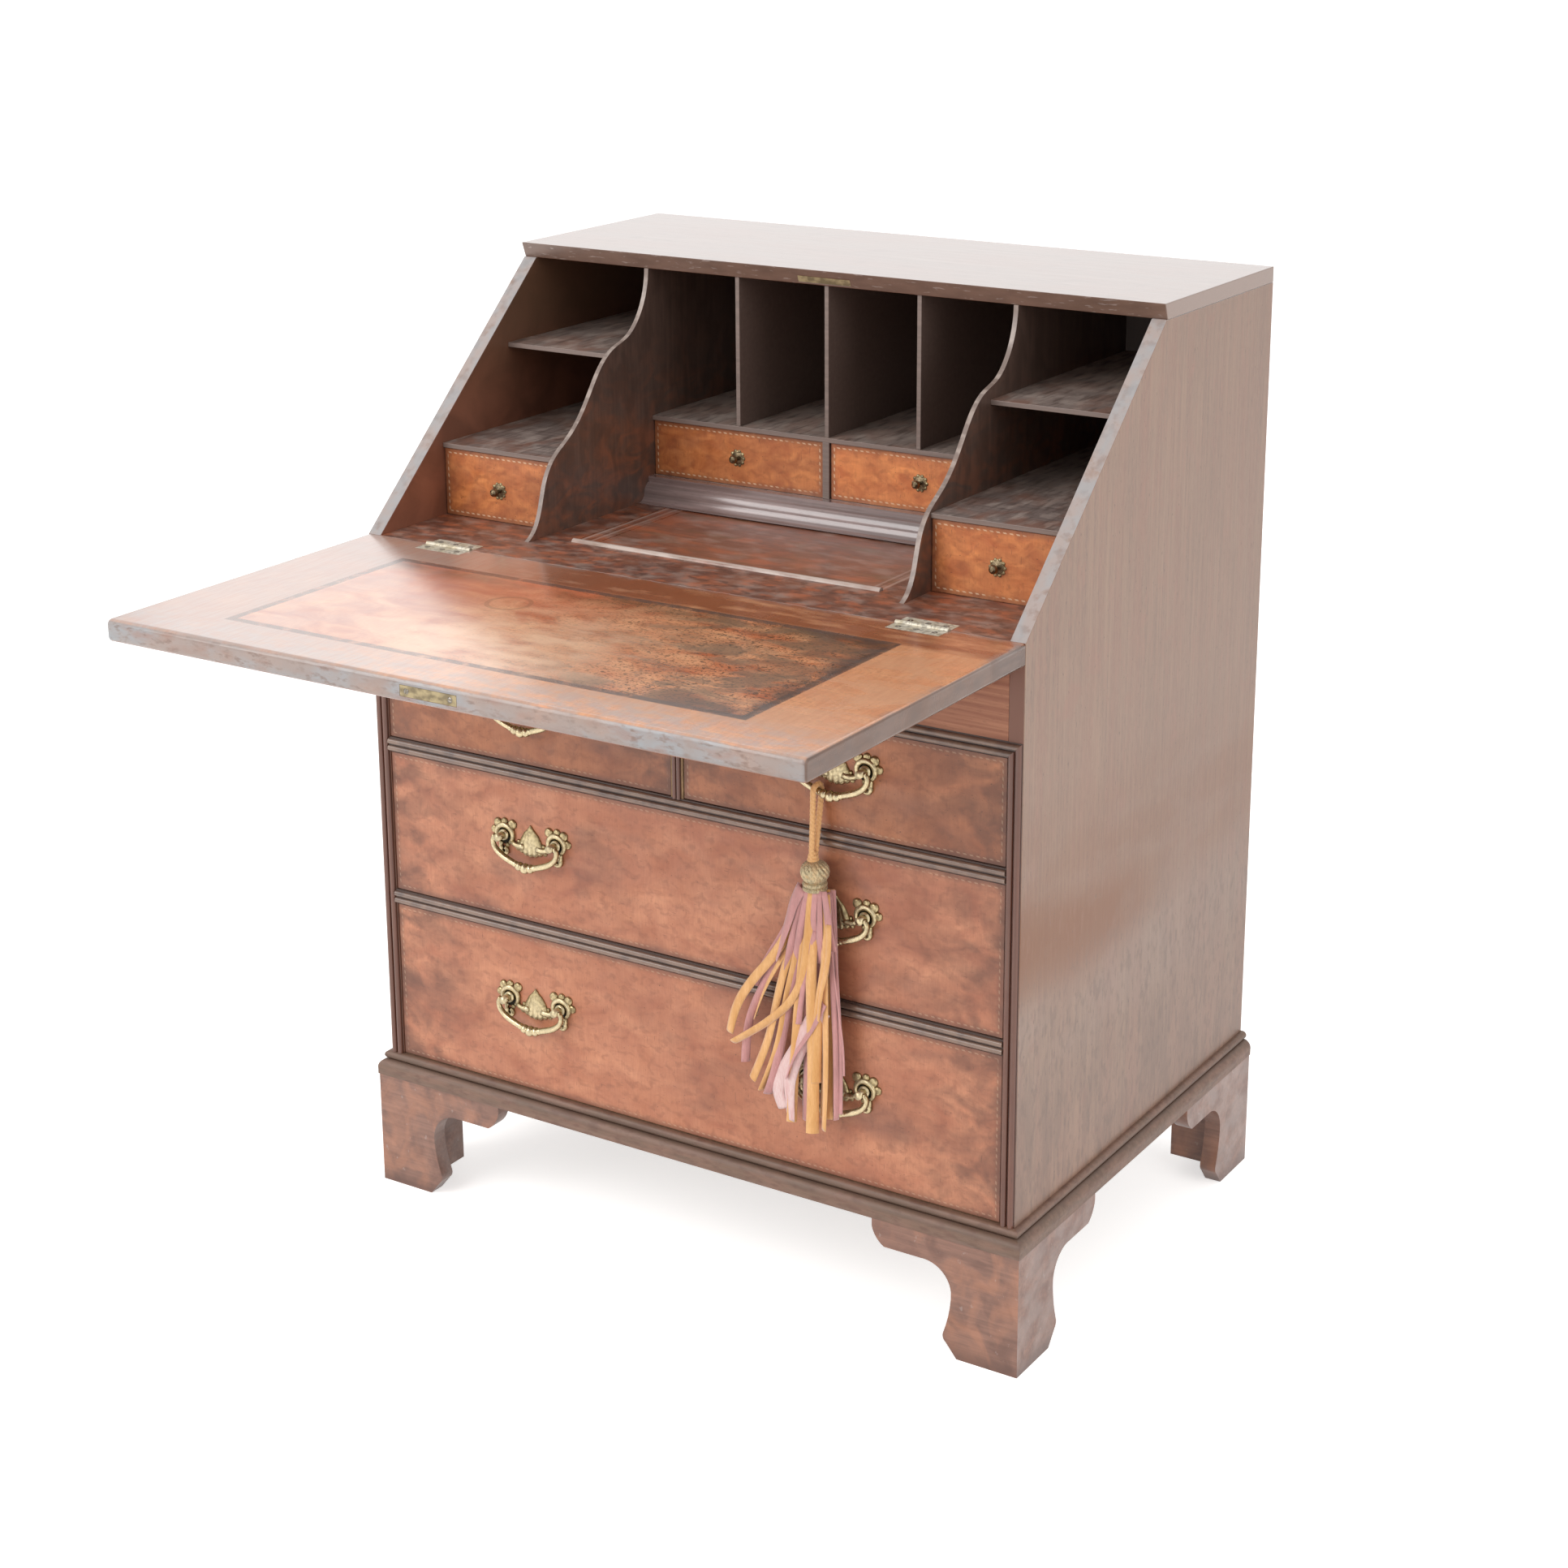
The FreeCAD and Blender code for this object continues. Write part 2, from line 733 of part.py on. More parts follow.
def hinge_parts(side):
    """One butt hinge: the desk leaf with its pin, and the fall leaf."""
    centre = side * hinge_x
    half = hinge_length / 2
    knuckle = hinge_length * hinge_knuckle_share / 2
    low = desk_z - hinge_leaf_thickness
    axis = Vector(centre, hinge_y, desk_z)

    def along(x0, x1, radius):
        return rod(radius, axis + Vector(x0, 0, 0), axis + Vector(x1, 0, 0))

    desk = box(centre - half, centre + half, hinge_y, hinge_y + hinge_leaf_width, low, desk_z)
    fall = box(centre - half, centre + half, hinge_y - hinge_leaf_width, hinge_y, low, desk_z)
    clear = hinge_barrel_radius + knuckle_gap
    gap = knuckle_gap
    desk = desk.cut(along(-knuckle - gap, knuckle + gap, clear))
    for x0, x1 in ((-half, -knuckle - gap), (knuckle + gap, half)):
        desk = desk.fuse(along(x0, x1, hinge_barrel_radius))
        fall = fall.cut(along(x0 - gap, x1 + gap, clear))
    fall = fall.fuse(along(-knuckle, knuckle, hinge_barrel_radius))
    fall = fall.cut(along(-half, half, hinge_pin_radius + hinge_pin_play))
    desk = desk.fuse(along(-half, half, hinge_pin_radius))
    return desk.removeSplitter(), fall.removeSplitter()


# Lopers


def loper():
    """Right loper, pulled out under the fall, with a turned pull on its end."""
    x0, x1 = loper_x - loper_width / 2, loper_x + loper_width / 2
    end_y = front_y - loper_reach
    low = loper_top_z - loper_height
    bar = box(x0, x1, end_y, end_y + loper_length, low, loper_top_z)
    centre = Vector(loper_x, end_y, loper_top_z - loper_height / 2)
    waist = pull_length / 3
    profile = [
        (pull_neck_radius, 0),
        (pull_neck_radius, waist),
        (pull_radius, waist + (pull_length - waist) / 3),
        (pull_radius, waist + (pull_length - waist) * 2 / 3),
        (pull_neck_radius, pull_length),
    ]
    return union([bar, turned(profile, centre)])


# Drawers of the carcass


class Opening:
    """A drawer opening in the front view, and the drawer that fills it."""

    def __init__(self, x0, x1, low, high):
        self.x0, self.x1, self.low, self.high = x0, x1, low, high

    def front(self, holes):
        """The drawer's front, bored for its handles."""
        rear = drawer_face_y + drawer_front_thickness
        x0, x1 = self.x0 + drawer_gap, self.x1 - drawer_gap
        low, high = self.low + drawer_gap, self.high - drawer_gap
        board = box(x0, x1, drawer_face_y, rear, low, high)
        for x in holes:
            for side in (1, -1):
                face = Vector(x + side * handle_post_half, drawer_face_y, self.post_z())
                inside = face + Vector(0, drawer_front_thickness, 0)
                board = board.cut(rod(bolt_radius + bolt_play, face, inside))
        return board

    def post_z(self):
        """Height of the handle's posts."""
        return (self.low + self.high) / 2 + handle_post_rise

    def box_body(self):
        """Sides, back and bottom, glued up behind the front."""
        start = drawer_face_y + drawer_front_thickness
        end = drawer_face_y + drawer_depth
        x0, x1 = self.x0 + drawer_side_play, self.x1 - drawer_side_play
        low = self.low + rest_gap
        high = self.high - drawer_box_drop
        body = box(x0, x1, start, end, low, high)
        floor = low + drawer_bottom_lift + drawer_bottom_thickness
        wall = drawer_side_thickness
        inside = box(x0 + wall, x1 - wall, start, end - drawer_back_thickness, floor, high)
        under = box(x0 + wall, x1 - wall, start, end, low, low + drawer_bottom_lift)
        return body.cut(inside).cut(under)


def long_drawer(low, high):
    return Opening(-inner_half, inner_half, low, high)


def short_drawer():
    low = rail_middle_z + rail_height
    return Opening(partition_thickness / 2, inner_half, low, low + short_opening)


# Handles


def disc(x, z, radius, depth):
    """A round piece of the plate, on the drawer's face."""
    start = Vector(x, drawer_face_y, z)
    return rod(radius, start, start - Vector(0, depth, 0))


def strap(x0, z0, x1, z1, depth):
    """A straight piece of the plate."""
    along = Vector(x1 - x0, 0, z1 - z0)
    across = Vector(along.z, 0, -along.x).normalize() * (strap_width / 2)
    base = Vector(x0, 0, z0)
    corners = [base + across, base + along + across, base + along - across, base - across]
    points = [(corner.x, corner.z) for corner in corners]
    return prism_xz(points, drawer_face_y - depth, drawer_face_y)


def rosette(x, z, side):
    """One pierced end of the plate: a lobed rosette over a scrolled foot."""
    depth = plate_thickness
    lobes = [disc(x, z, rosette_radius, depth)]
    for angle in (35, 90, 145):
        turn = math.radians(angle)
        dx, dz = math.cos(turn) * side * rosette_radius, math.sin(turn) * rosette_radius
        lobes.append(disc(x + dx, z + dz, rosette_lobe_radius, depth))
    foot_x = x + side * rosette_lobe_radius / 2
    foot_z = z - rosette_radius - foot_lobe_radius * 1.4
    lobes.append(disc(foot_x, foot_z, foot_lobe_radius, depth))
    lobes.append(strap(x, z, foot_x, foot_z, depth))
    shape = union(lobes)
    for angle in (50, 130, 200, 340):
        turn = math.radians(angle)
        ring = (rosette_radius + handle_boss_radius) / 2
        dx, dz = math.cos(turn) * side * ring, math.sin(turn) * ring
        hole = disc(x + dx, z + dz, rosette_pierce_radius, depth)
        shape = shape.cut(hole)
    return shape.cut(disc(foot_x, foot_z, rosette_pierce_radius, depth))


def fan(x, z):
    """The fan in the middle of the plate: a pointed top over a scalloped foot."""
    depth = plate_thickness * 1.5
    half = fan_half_width
    low = z - fan_bottom + fan_scallop_radius
    points = [
        (x - half, low + fan_scallop_radius),
        (x - half / 2, z + fan_height / 3),
        (x - half / 3, z + fan_height / 2),
        (x, z + fan_height * 2),
        (x + half / 3, z + fan_height / 2),
        (x + half / 2, z + fan_height / 3),
        (x + half, low + fan_scallop_radius),
        (x, low - fan_scallop_radius / 2),
    ]
    pieces = [prism_xz(points, drawer_face_y - depth, drawer_face_y)]
    for share in (-0.72, -0.26, 0.26, 0.72):
        lift = abs(share) * fan_scallop_radius
        pieces.append(disc(x + share * half, low + lift, fan_scallop_radius, depth))
    return union(pieces)


def handle_plate(x, post_z):
    """Pierced plate with two posts, whose bolts pass through the drawer front."""
    centre_z = post_z - handle_post_rise
    pieces = [fan(x, centre_z)]
    for side in (1, -1):
        post_x = x + side * handle_post_half
        pieces.append(rosette(post_x, post_z, side))
        inner = x + side * fan_half_width / 2
        pieces.append(strap(post_x, post_z - strap_width, inner, centre_z - strap_width, plate_thickness))
        face = Vector(post_x, drawer_face_y, post_z)
        out = plate_thickness + handle_stand + handle_post_radius
        pieces.append(rod(handle_post_radius, face, face - Vector(0, out, 0)))
        boss = plate_thickness + handle_boss_height
        pieces.append(rod(handle_boss_radius, face, face - Vector(0, boss, 0)))
        deep = Vector(0, drawer_front_thickness + nut_height, 0)
        pieces.append(rod(bolt_radius, face, face + deep))
    plate = union(pieces)
    for side in (1, -1):
        pin = Vector(x + side * handle_post_half - handle_post_radius, bail_y, post_z)
        hole = rod(bail_pin_radius + bail_pin_play, pin, pin + Vector(2 * handle_post_radius, 0, 0))
        plate = plate.cut(hole)
    return plate


def handle_nuts(x, post_z):
    """The two nuts inside the drawer."""
    nuts = []
    for side in (1, -1):
        start = Vector(x + side * handle_post_half, drawer_face_y + drawer_front_thickness, post_z)
        end = start + Vector(0, nut_height, 0)
        nuts.append(rod(nut_radius, start, end).cut(rod(bolt_radius, start, end)))
    return nuts


def handle_set(x, post_z):
    """Plate and nuts of one handle."""
    return [handle_plate(x, post_z)] + handle_nuts(x, post_z)


def bail_at(across, rise):
    """A point of the bail's line, from its middle and the level of its pins."""
    return Vector(across, 0, rise)


def bail_half():
    """Right half of the bail's line: neck, sweep and the straight run to the drop."""
    shoulder = handle_post_half + handle_post_radius + bail_shoulder_gap
    bend = bail_bend_radius
    arm = shoulder + bend
    s = math.sqrt(0.5)
    sweep = bail_sweep_radius
    turn = math.radians(bail_sweep_angle)
    half_turn = turn / 2
    hub_x, hub_z = arm - sweep, -bend
    start = bail_at(shoulder, 0)
    bend_middle = bail_at(shoulder + bend * s, -bend * (1 - s))
    arm_top = bail_at(arm, -bend)
    sweep_middle = bail_at(hub_x + sweep * math.cos(half_turn), hub_z - sweep * math.sin(half_turn))
    sweep_end = bail_at(hub_x + sweep * math.cos(turn), hub_z - sweep * math.sin(turn))
    direction = Vector(-math.sin(turn), 0, -math.cos(turn))
    rise_angle = math.pi / 2 - turn
    drop_half = bail_bottom_radius * math.sin(rise_angle)
    reach = (sweep_end.x - drop_half) / math.sin(turn)
    drop_start = sweep_end + direction * reach
    drop_z = drop_start.z - bail_bottom_radius * (1 - math.cos(rise_angle))
    edges = [
        arc(start, bend_middle, arm_top),
        arc(arm_top, sweep_middle, sweep_end),
        line(sweep_end, drop_start),
    ]
    return edges, start, drop_start, bail_at(0, drop_z)


def bail_line_z(across):
    """Level of the bail's line, under its pins, on the straight run."""
    turn = math.radians(bail_sweep_angle)
    shoulder = handle_post_half + handle_post_radius + bail_shoulder_gap
    hub_x = shoulder + bail_bend_radius - bail_sweep_radius
    end_x = hub_x + bail_sweep_radius * math.cos(turn)
    end_z = -bail_bend_radius - bail_sweep_radius * math.sin(turn)
    return end_z - (end_x - abs(across)) / math.tan(turn)


def bail(x, post_z):
    """A hanging bail, with a pin at each end through its post."""
    right, start, drop_start, drop = bail_half()
    left = [edge.mirror(Vector(0, 0, 0), Vector(1, 0, 0)) for edge in right]
    mirrored = Vector(-drop_start.x, 0, drop_start.z)
    edges = right + [arc(drop_start, drop, mirrored)] + left
    wire = Part.Wire(Part.__sortEdges__(edges))
    ends = [Vector(start.x, 0, 0), Vector(-start.x, 0, 0)]
    circle = Part.Wire(Part.makeCircle(bail_radius, ends[0], Vector(1, 0, 0)))
    tube = wire.makePipeShell([circle], True, False)
    inside = handle_post_half - handle_post_radius - bail_shoulder_gap
    pieces = [tube]
    for side in (1, -1):
        pin_start = Vector(side * inside, 0, 0)
        pieces.append(rod(bail_pin_radius, pin_start, Vector(side * start.x, 0, 0)))
        bead = Vector(side * bail_bead_shift, 0, bail_line_z(bail_bead_shift))
        along = Vector(math.tan(math.radians(bail_sweep_angle)), 0, side)
        pieces.append(Part.makeSphere(bail_bead_radius, bead, along))
    pieces.append(Part.makeSphere(bail_drop_radius, drop, Vector(1, 0, 0)))
    return union(pieces).translated(Vector(x, bail_y, post_z))


# Desk interior

# The wavy front edge of the tall dividers: back from the carcass front as
# shares of the slope's depth, and up from the desk as shares of its rise.
wave_shares = (
    (0.203, 0.0),
    (0.262, 0.055),
    (0.298, 0.15),
    (0.325, 0.235),
    (0.385, 0.318),
    (0.462, 0.372),
    (0.555, 0.458),
    (0.615, 0.54),
    (0.68, 0.63),
    (0.76, 0.695),
    (0.865, 0.735),
    (0.93, 0.795),
    (0.975, 0.875),
    (1.0, 1.0),
)


def serpentine_divider():
    """Right wavy-fronted divider, from the desk to the top."""
    points = [
        Vector(bay_half_width, front_y + back * slope_depth, desk_z + up * slope_rise)
        for back, up in wave_shares
    ]
    wave = Part.BSplineCurve()
    wave.interpolate(points)
    low_back = Vector(bay_half_width, inner_back_y, desk_z)
    high_back = Vector(bay_half_width, inner_back_y, top_under_z)
    edges = [
        wave.toShape(),
        line(points[-1], high_back),
        line(high_back, low_back),
        line(low_back, points[0]),
    ]
    return extrude_edges(edges, Vector(divider_thickness, 0, 0))


def side_bay():
    """Inner and outer faces of the right-hand bay."""
    return bay_half_width + divider_thickness, inner_half


def side_shelves():
    """In each side bay, a shelf over the drawer and one above it."""
    x0, x1 = side_bay()
    low = desk_z + side_drawer_height
    over_drawer = box(x0, x1, front_y + side_shelf_setback, inner_back_y, low, low + thin_shelf)
    high = desk_z + upper_shelf_lift
    upper = box(x0, x1, front_y + upper_shelf_setback, inner_back_y, high, high + thin_shelf)
    return both_sides(over_drawer) + both_sides(upper)


def cushion_step():
    """Polished step under the middle drawers: a lip, a cushion and a hollow foot."""
    def at(out, up):
        return Vector(-bay_half_width, front_y + step_setback + step_depth - out, desk_z + up)

    lip_z = step_height - step_lip
    bend = math.sqrt(0.5)
    cushion = step_depth * 0.62
    round_middle = at(cushion - (cushion - step_depth / 3) * (1 - bend), lip_z * 0.5 + lip_z * 0.42 * bend)
    foot_middle = at(step_depth * 0.72, lip_z * 0.16)
    edges = [
        line(at(0, 0), at(0, step_height)),
        line(at(0, step_height), at(step_depth / 3, step_height)),
        line(at(step_depth / 3, step_height), at(step_depth / 3, lip_z)),
        arc(at(step_depth / 3, lip_z), round_middle, at(cushion, lip_z * 0.45)),
        arc(at(cushion, lip_z * 0.45), foot_middle, at(step_depth, 0)),
        line(at(step_depth, 0), at(0, 0)),
    ]
    return extrude_edges(edges, Vector(2 * bay_half_width, 0, 0))


def centre_shelves():
    """Bed of the middle drawers, behind the step, and the shelf over them."""
    start = front_y + step_setback + step_depth
    bed_top = desk_z + step_height
    half = bay_half_width
    bed = box(-half, half, start, inner_back_y, bed_top - bed_thickness, bed_top)
    low = bed_top + centre_drawer_height
    start = front_y + pigeonhole_floor_setback
    return [bed, box(-half, half, start, inner_back_y, low, low + thin_shelf)]


def centre_drawer_divider():
    """Short upright between the middle drawers."""
    half = centre_divider_thickness / 2
    low = desk_z + step_height
    start = front_y + pigeonhole_floor_setback + rest_gap
    return box(-half, half, start, inner_back_y, low, low + centre_drawer_height)


def pigeonhole_dividers():
    """Three thin uprights that make four pigeonholes."""
    half = divider_thickness / 2
    low = desk_z + step_height + centre_drawer_height + thin_shelf
    start = front_y + pigeonhole_setback
    pieces = []
    for share in (-0.5, 0.0, 0.5):
        x = share * bay_half_width
        pieces.append(box(x - half, x + half, start, inner_back_y, low, top_under_z))
    return pieces


def small_drawer(x0, x1, setback, depth, low, high):
    """A small glued-up drawer: front, sides, back and bottom in one."""
    gap = small_drawer_gap
    start = front_y + setback
    body = box(x0 + gap, x1 - gap, start, start + depth, low + rest_gap, high - gap)
    wall = small_drawer_wall
    inside = box(
        x0 + gap + wall,
        x1 - gap - wall,
        start + small_drawer_front,
        start + depth - wall,
        low + rest_gap + small_drawer_floor,
        high - gap,
    )
    return body.cut(inside)


def side_drawer():
    """Drawer of the right-hand bay."""
    x0, x1 = side_bay()
    high = desk_z + side_drawer_height
    return small_drawer(x0, x1, side_drawer_setback, side_drawer_depth, desk_z, high)


def centre_drawer():
    """Drawer on the right of the middle bay."""
    low = desk_z + step_height
    x0 = centre_divider_thickness / 2
    high = low + centre_drawer_height
    return small_drawer(x0, bay_half_width, centre_drawer_setback, centre_drawer_depth, low, high)


def small_knob(x, setback, z):
    """Turned brass knob on a little rosette."""
    centre = Vector(x, front_y + setback, z)
    ball = knob_ball_radius
    middle = knob_reach - ball
    profile = [
        (knob_rosette_radius, 0),
        (knob_rosette_radius, knob_rosette_height / 2),
        (knob_neck_radius, knob_rosette_height),
        (knob_neck_radius, middle - ball * 0.8),
        (ball * 0.8, middle - ball * 0.5),
        (ball, middle),
        (ball * 0.8, middle + ball * 0.6),
        (ball * 0.3, knob_reach),
    ]
    return turned(profile, centre)


def side_knob():
    """Knob of the right-hand bay's drawer."""
    x0, x1 = side_bay()
    return small_knob((x0 + x1) / 2, side_drawer_setback, desk_z + side_drawer_height * 0.46)


def centre_knob():
    """Knob of the right middle drawer."""
    x = (centre_divider_thickness / 2 + bay_half_width) / 2
    z = desk_z + step_height + centre_drawer_height / 2
    return small_knob(x, centre_drawer_setback, z)


# Well cover


def well_cover():
    """Sliding cover of the well: a board with a sunk field and a lip to push."""
    half = well_half_width - cover_play
    start = front_y + well_setback + cover_play
    end = start + cover_length - cover_play
    top = desk_z - cover_sink
    board = box(-half, half, start, end, top - cover_thickness, top)
    margin = cover_field_margin
    field = box(-half + margin, half - margin, start + margin, end, top - cover_field_sink, top)
    radius = cover_lip_depth / 2
    lip_low = box(-half, half, start, start + cover_lip_depth, top, desk_z + cover_lip_rise - radius)
    ridge_start = Vector(-half, start + radius, desk_z + cover_lip_rise - radius)
    ridge = rod(radius, ridge_start, ridge_start + Vector(2 * half, 0, 0))
    return union([board.cut(field), lip_low, ridge])


def well_cover_runners():
    """Grooved bearers under the desk floor, which carry the cover."""
    inner = well_half_width - cover_runner_ledge
    edge = well_half_width - cover_play
    start = front_y + well_setback
    end = start + cover_length + cover_travel + cover_play
    ledge_top = desk_z - cover_sink - cover_thickness - rest_gap
    low = desk_under_z - cover_runner_thickness
    ledge = box(inner, edge, start, end, low, ledge_top)
    seat = box(edge, well_half_width + cover_runner_seat, start, end, low, desk_under_z)
    return both_sides(union([ledge, seat]))


# Key tassel

# Front view of the hanging ribbons, clockwise from the top right: across as
# shares of the reach to that side, and down as shares of the length.
skirt_shares = (
    (0.6, 0.0),
    (0.8, 0.16),
    (0.87, 0.33),
    (1.0, 0.7),
    (0.97, 0.88),
    (0.4, 0.98),
    (-0.3, 1.0),
    (-0.5, 0.89),
    (-0.72, 0.85),
    (-0.95, 0.7),
    (-1.0, 0.6),
    (-0.6, 0.42),
    (-0.45, 0.23),
    (-0.24, 0.0),
)

# Half the outline of the bound head: out as shares of its radius, and down as
# shares of its height.
head_shares = ((0.52, 0.0), (0.85, 0.12), (1.0, 0.35), (0.95, 0.58), (0.72, 0.76), (0.84, 0.84), (0.84, 1.0))


def tassel_place():
    """Where the tassel's cord goes over the bail, and the top of its head."""
    x = handle_offset + tassel_shift
    over = Vector(x, bail_y, short_drawer().post_z() + bail_line_z(tassel_shift))
    head = Vector(x + tassel_lean, front_y - tassel_stand, over.z - tassel_head_drop)
    return over, head


def tangent_point(centre, radius, end, side):
    """Where a strand from an end below meets a bend round a centre, in the side view."""
    reach = end - centre
    angle = math.atan2(reach.z, reach.y) + side * math.acos(radius / math.hypot(reach.y, reach.z))
    return centre + Vector(0, radius * math.cos(angle), radius * math.sin(angle))


def tassel_loop():
    """Cord doubled over the bail, with both ends on the head."""
    over, head = tassel_place()
    radius = cord_diameter / 2
    incline = math.radians(90 - bail_sweep_angle)
    ring = (bail_radius + radius) / math.cos(incline) + rest_gap
    spread = radius + rest_gap
    sunk = head.z - radius
    front_end = Vector(over.x, head.y - spread, sunk)
    back_end = Vector(over.x, head.y + spread, sunk)
    front = tangent_point(over, ring, front_end, -1)
    back = tangent_point(over, ring, back_end, 1)
    bend = arc(front, over + Vector(0, 0, ring), back)
    path = Part.Wire([line(front_end, front), bend, line(back, back_end)])
    circle = Part.Wire(Part.makeCircle(radius, front_end, front - front_end))
    tube = path.makePipeShell([circle], True, False)
    section = math.pi * radius ** 2
    print("tassel cord: bend radius", round(ring, 2), "volume over section times length",
          round(tube.Volume / (section * path.Length), 4))
    half = tassel_head_radius
    low = head.z - tassel_head_height
    below = box(head.x - half, head.x + half, head.y - half, head.y + half, low, head.z)
    return tube.cut(below)


def tassel_head():
    """The bound head of the tassel: a ball over a collar."""
    head = tassel_place()[1]
    radius, height = tassel_head_radius, tassel_head_height
    points = [head + Vector(radius * out, 0, -height * down) for out, down in head_shares]
    points = [head] + points + [head - Vector(0, 0, height)]
    face = Part.Face(Part.makePolygon(points + points[:1]))
    return face.revolve(head, Vector(0, 0, 1), 360)


def tassel_skirt():
    """The hanging ribbons as one soft, flaring shape in front of the handles."""
    head = tassel_place()[1]
    top = head.z - tassel_head_height
    points = []
    for across, down in skirt_shares:
        reach = skirt_reach_right if across > 0 else skirt_reach_left
        points.append((head.x + across * reach, top - down * skirt_length))
    back = bail_y - handle_post_radius - skirt_gap
    return prism_xz(points, back - skirt_depth, back)


def write_all():
    """Builds every piece and writes its file."""
    os.makedirs("parts", exist_ok=True)
    side = side_board()
    save("side_right", side)
    save("side_left", mirror_x(side))
    save("top_board", top_board())
    save("back_panel", back_panel())
    save("bottom_board", bottom_board())
    save("desk_floor", desk_floor())
    save("frieze_panel", frieze_panel())
    save("loper_housings", both_sides(loper_housing()))
    save("drawer_rails", drawer_rails())
    save("dust_boards", dust_boards())
    save("drawer_runners", drawer_runners())
    save("short_drawer_partition", short_drawer_partition())
    save("rail_beads", rail_beads())
    save("upright_beads", upright_beads())
    save("base_moulding", base_moulding())
    save("bracket_feet", bracket_feet())
    save("serpentine_dividers", both_sides(serpentine_divider()))
    save("pigeonhole_dividers", pigeonhole_dividers())
    save("centre_shelves", centre_shelves())
    save("centre_drawer_divider", centre_drawer_divider())
    save("cushion_step", cushion_step())
    save("side_shelves", side_shelves())
    save("well_cover_runners", well_cover_runners())
    save("lock_strike", lock_strike())
    hinges = [hinge_parts(1), hinge_parts(-1)]
    save("desk_hinge_leaves", [pair[0] for pair in hinges])
    save("fall_hinge_leaves", [pair[1] for pair in hinges])
    save("fall_panel", fall_panel())
    save("fall_lock", lock_case(0))
    save("loper_right", loper())
    save("loper_left", mirror_x(loper()))
    save("well_cover", well_cover())

    short = short_drawer()
    sets = handle_set(handle_offset, short.post_z())
    hanging = bail(handle_offset, short.post_z())
    for name, place in (("right", lambda shape: shape), ("left", mirror_x)):
        save("short_front_" + name, place(short.front([handle_offset])))
        save("short_box_" + name, place(short.box_body()))
        save("short_plate_" + name, [place(piece) for piece in sets])
        save("short_bail_" + name, place(hanging))

    levels = {
        "upper": (rail_lower_z + rail_height, rail_middle_z),
        "lower": (base_top_z, rail_lower_z),
    }
    for name, (low, high) in levels.items():
        opening = long_drawer(low, high)
        sets = handle_set(handle_offset, opening.post_z())
        hanging = bail(handle_offset, opening.post_z())
        save(name + "_front", opening.front([handle_offset, -handle_offset]))
        save(name + "_box", opening.box_body())
        save(name + "_plates", sets + [mirror_x(piece) for piece in sets])
        save(name + "_bail_right", hanging)
        save(name + "_bail_left", mirror_x(hanging))

    small = {"side": (side_drawer(), side_knob()), "centre": (centre_drawer(), centre_knob())}
    for name, (drawer, knob) in small.items():
        save(name + "_drawer_right", drawer)
        save(name + "_drawer_left", mirror_x(drawer))
        save(name + "_knob_right", knob)
        save(name + "_knob_left", mirror_x(knob))

    save("tassel_loop", tassel_loop())
    save("tassel_head", tassel_head())
    save("tassel_skirt", tassel_skirt())
    print("degrees: fall", round(fall_swing, 3), "bails", bail_swing)
    print("travel: lopers", loper_reach, "drawers", drawer_travel, "side drawers", side_drawer_travel,
          "centre drawers", centre_drawer_travel, "well cover", cover_travel)


write_all()
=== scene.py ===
import math
import random

import bmesh
import bpy
from bpy.props import FloatProperty, FloatVectorProperty, IntProperty, PointerProperty
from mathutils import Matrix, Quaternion, Vector


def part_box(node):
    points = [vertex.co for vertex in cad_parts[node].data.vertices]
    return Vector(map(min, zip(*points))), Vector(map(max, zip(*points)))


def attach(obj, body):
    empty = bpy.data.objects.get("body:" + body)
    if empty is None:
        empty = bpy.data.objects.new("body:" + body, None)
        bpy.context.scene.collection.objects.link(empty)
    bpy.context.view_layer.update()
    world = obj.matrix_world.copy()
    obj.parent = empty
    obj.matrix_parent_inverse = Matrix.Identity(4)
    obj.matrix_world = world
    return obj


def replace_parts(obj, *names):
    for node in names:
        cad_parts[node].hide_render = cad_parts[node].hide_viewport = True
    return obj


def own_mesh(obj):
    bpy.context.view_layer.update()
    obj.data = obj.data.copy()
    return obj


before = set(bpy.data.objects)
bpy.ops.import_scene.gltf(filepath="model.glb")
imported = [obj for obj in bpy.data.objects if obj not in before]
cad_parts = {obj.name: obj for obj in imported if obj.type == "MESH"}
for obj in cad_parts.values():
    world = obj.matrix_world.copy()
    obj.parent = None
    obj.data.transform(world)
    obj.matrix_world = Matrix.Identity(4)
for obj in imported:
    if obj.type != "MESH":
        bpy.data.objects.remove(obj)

bl_info = {
    "name": "Writing Bureau",
    "version": (1, 0, 0),
    "blender": (4, 5, 0),
    "location": "3D View > Sidebar > Bureau",
    "description": "Finishes, screws, key tassel and studio of a walnut writing bureau",
    "category": "Object",
}

MM = 0.001
SMALL_DRAWERS = ("side_drawer_left", "side_drawer_right", "centre_drawer_left",
                 "centre_drawer_right")


def linear(code):
    """sRGB hex colour as linear red, green and blue."""
    shares = [int(code[i:i + 2], 16) / 255 for i in (1, 3, 5)]
    return tuple(s / 12.92 if s <= 0.04045 else ((s + 0.055) / 1.055) ** 2.4 for s in shares)


def colour(name, description, code):
    """A colour that the user may change, from its hex value."""
    return FloatVectorProperty(name=name, description=description, default=linear(code),
                               subtype="COLOR", size=3, min=0, max=1)


def number(name, description, value, **more):
    """A number that the user may change, none or more."""
    return FloatProperty(name=name, description=description, default=value, min=0, **more)


def length(name, description, value):
    """A size that the user may change, in metres."""
    return number(name, description, value, unit="LENGTH", subtype="DISTANCE", precision=4)


# Settings

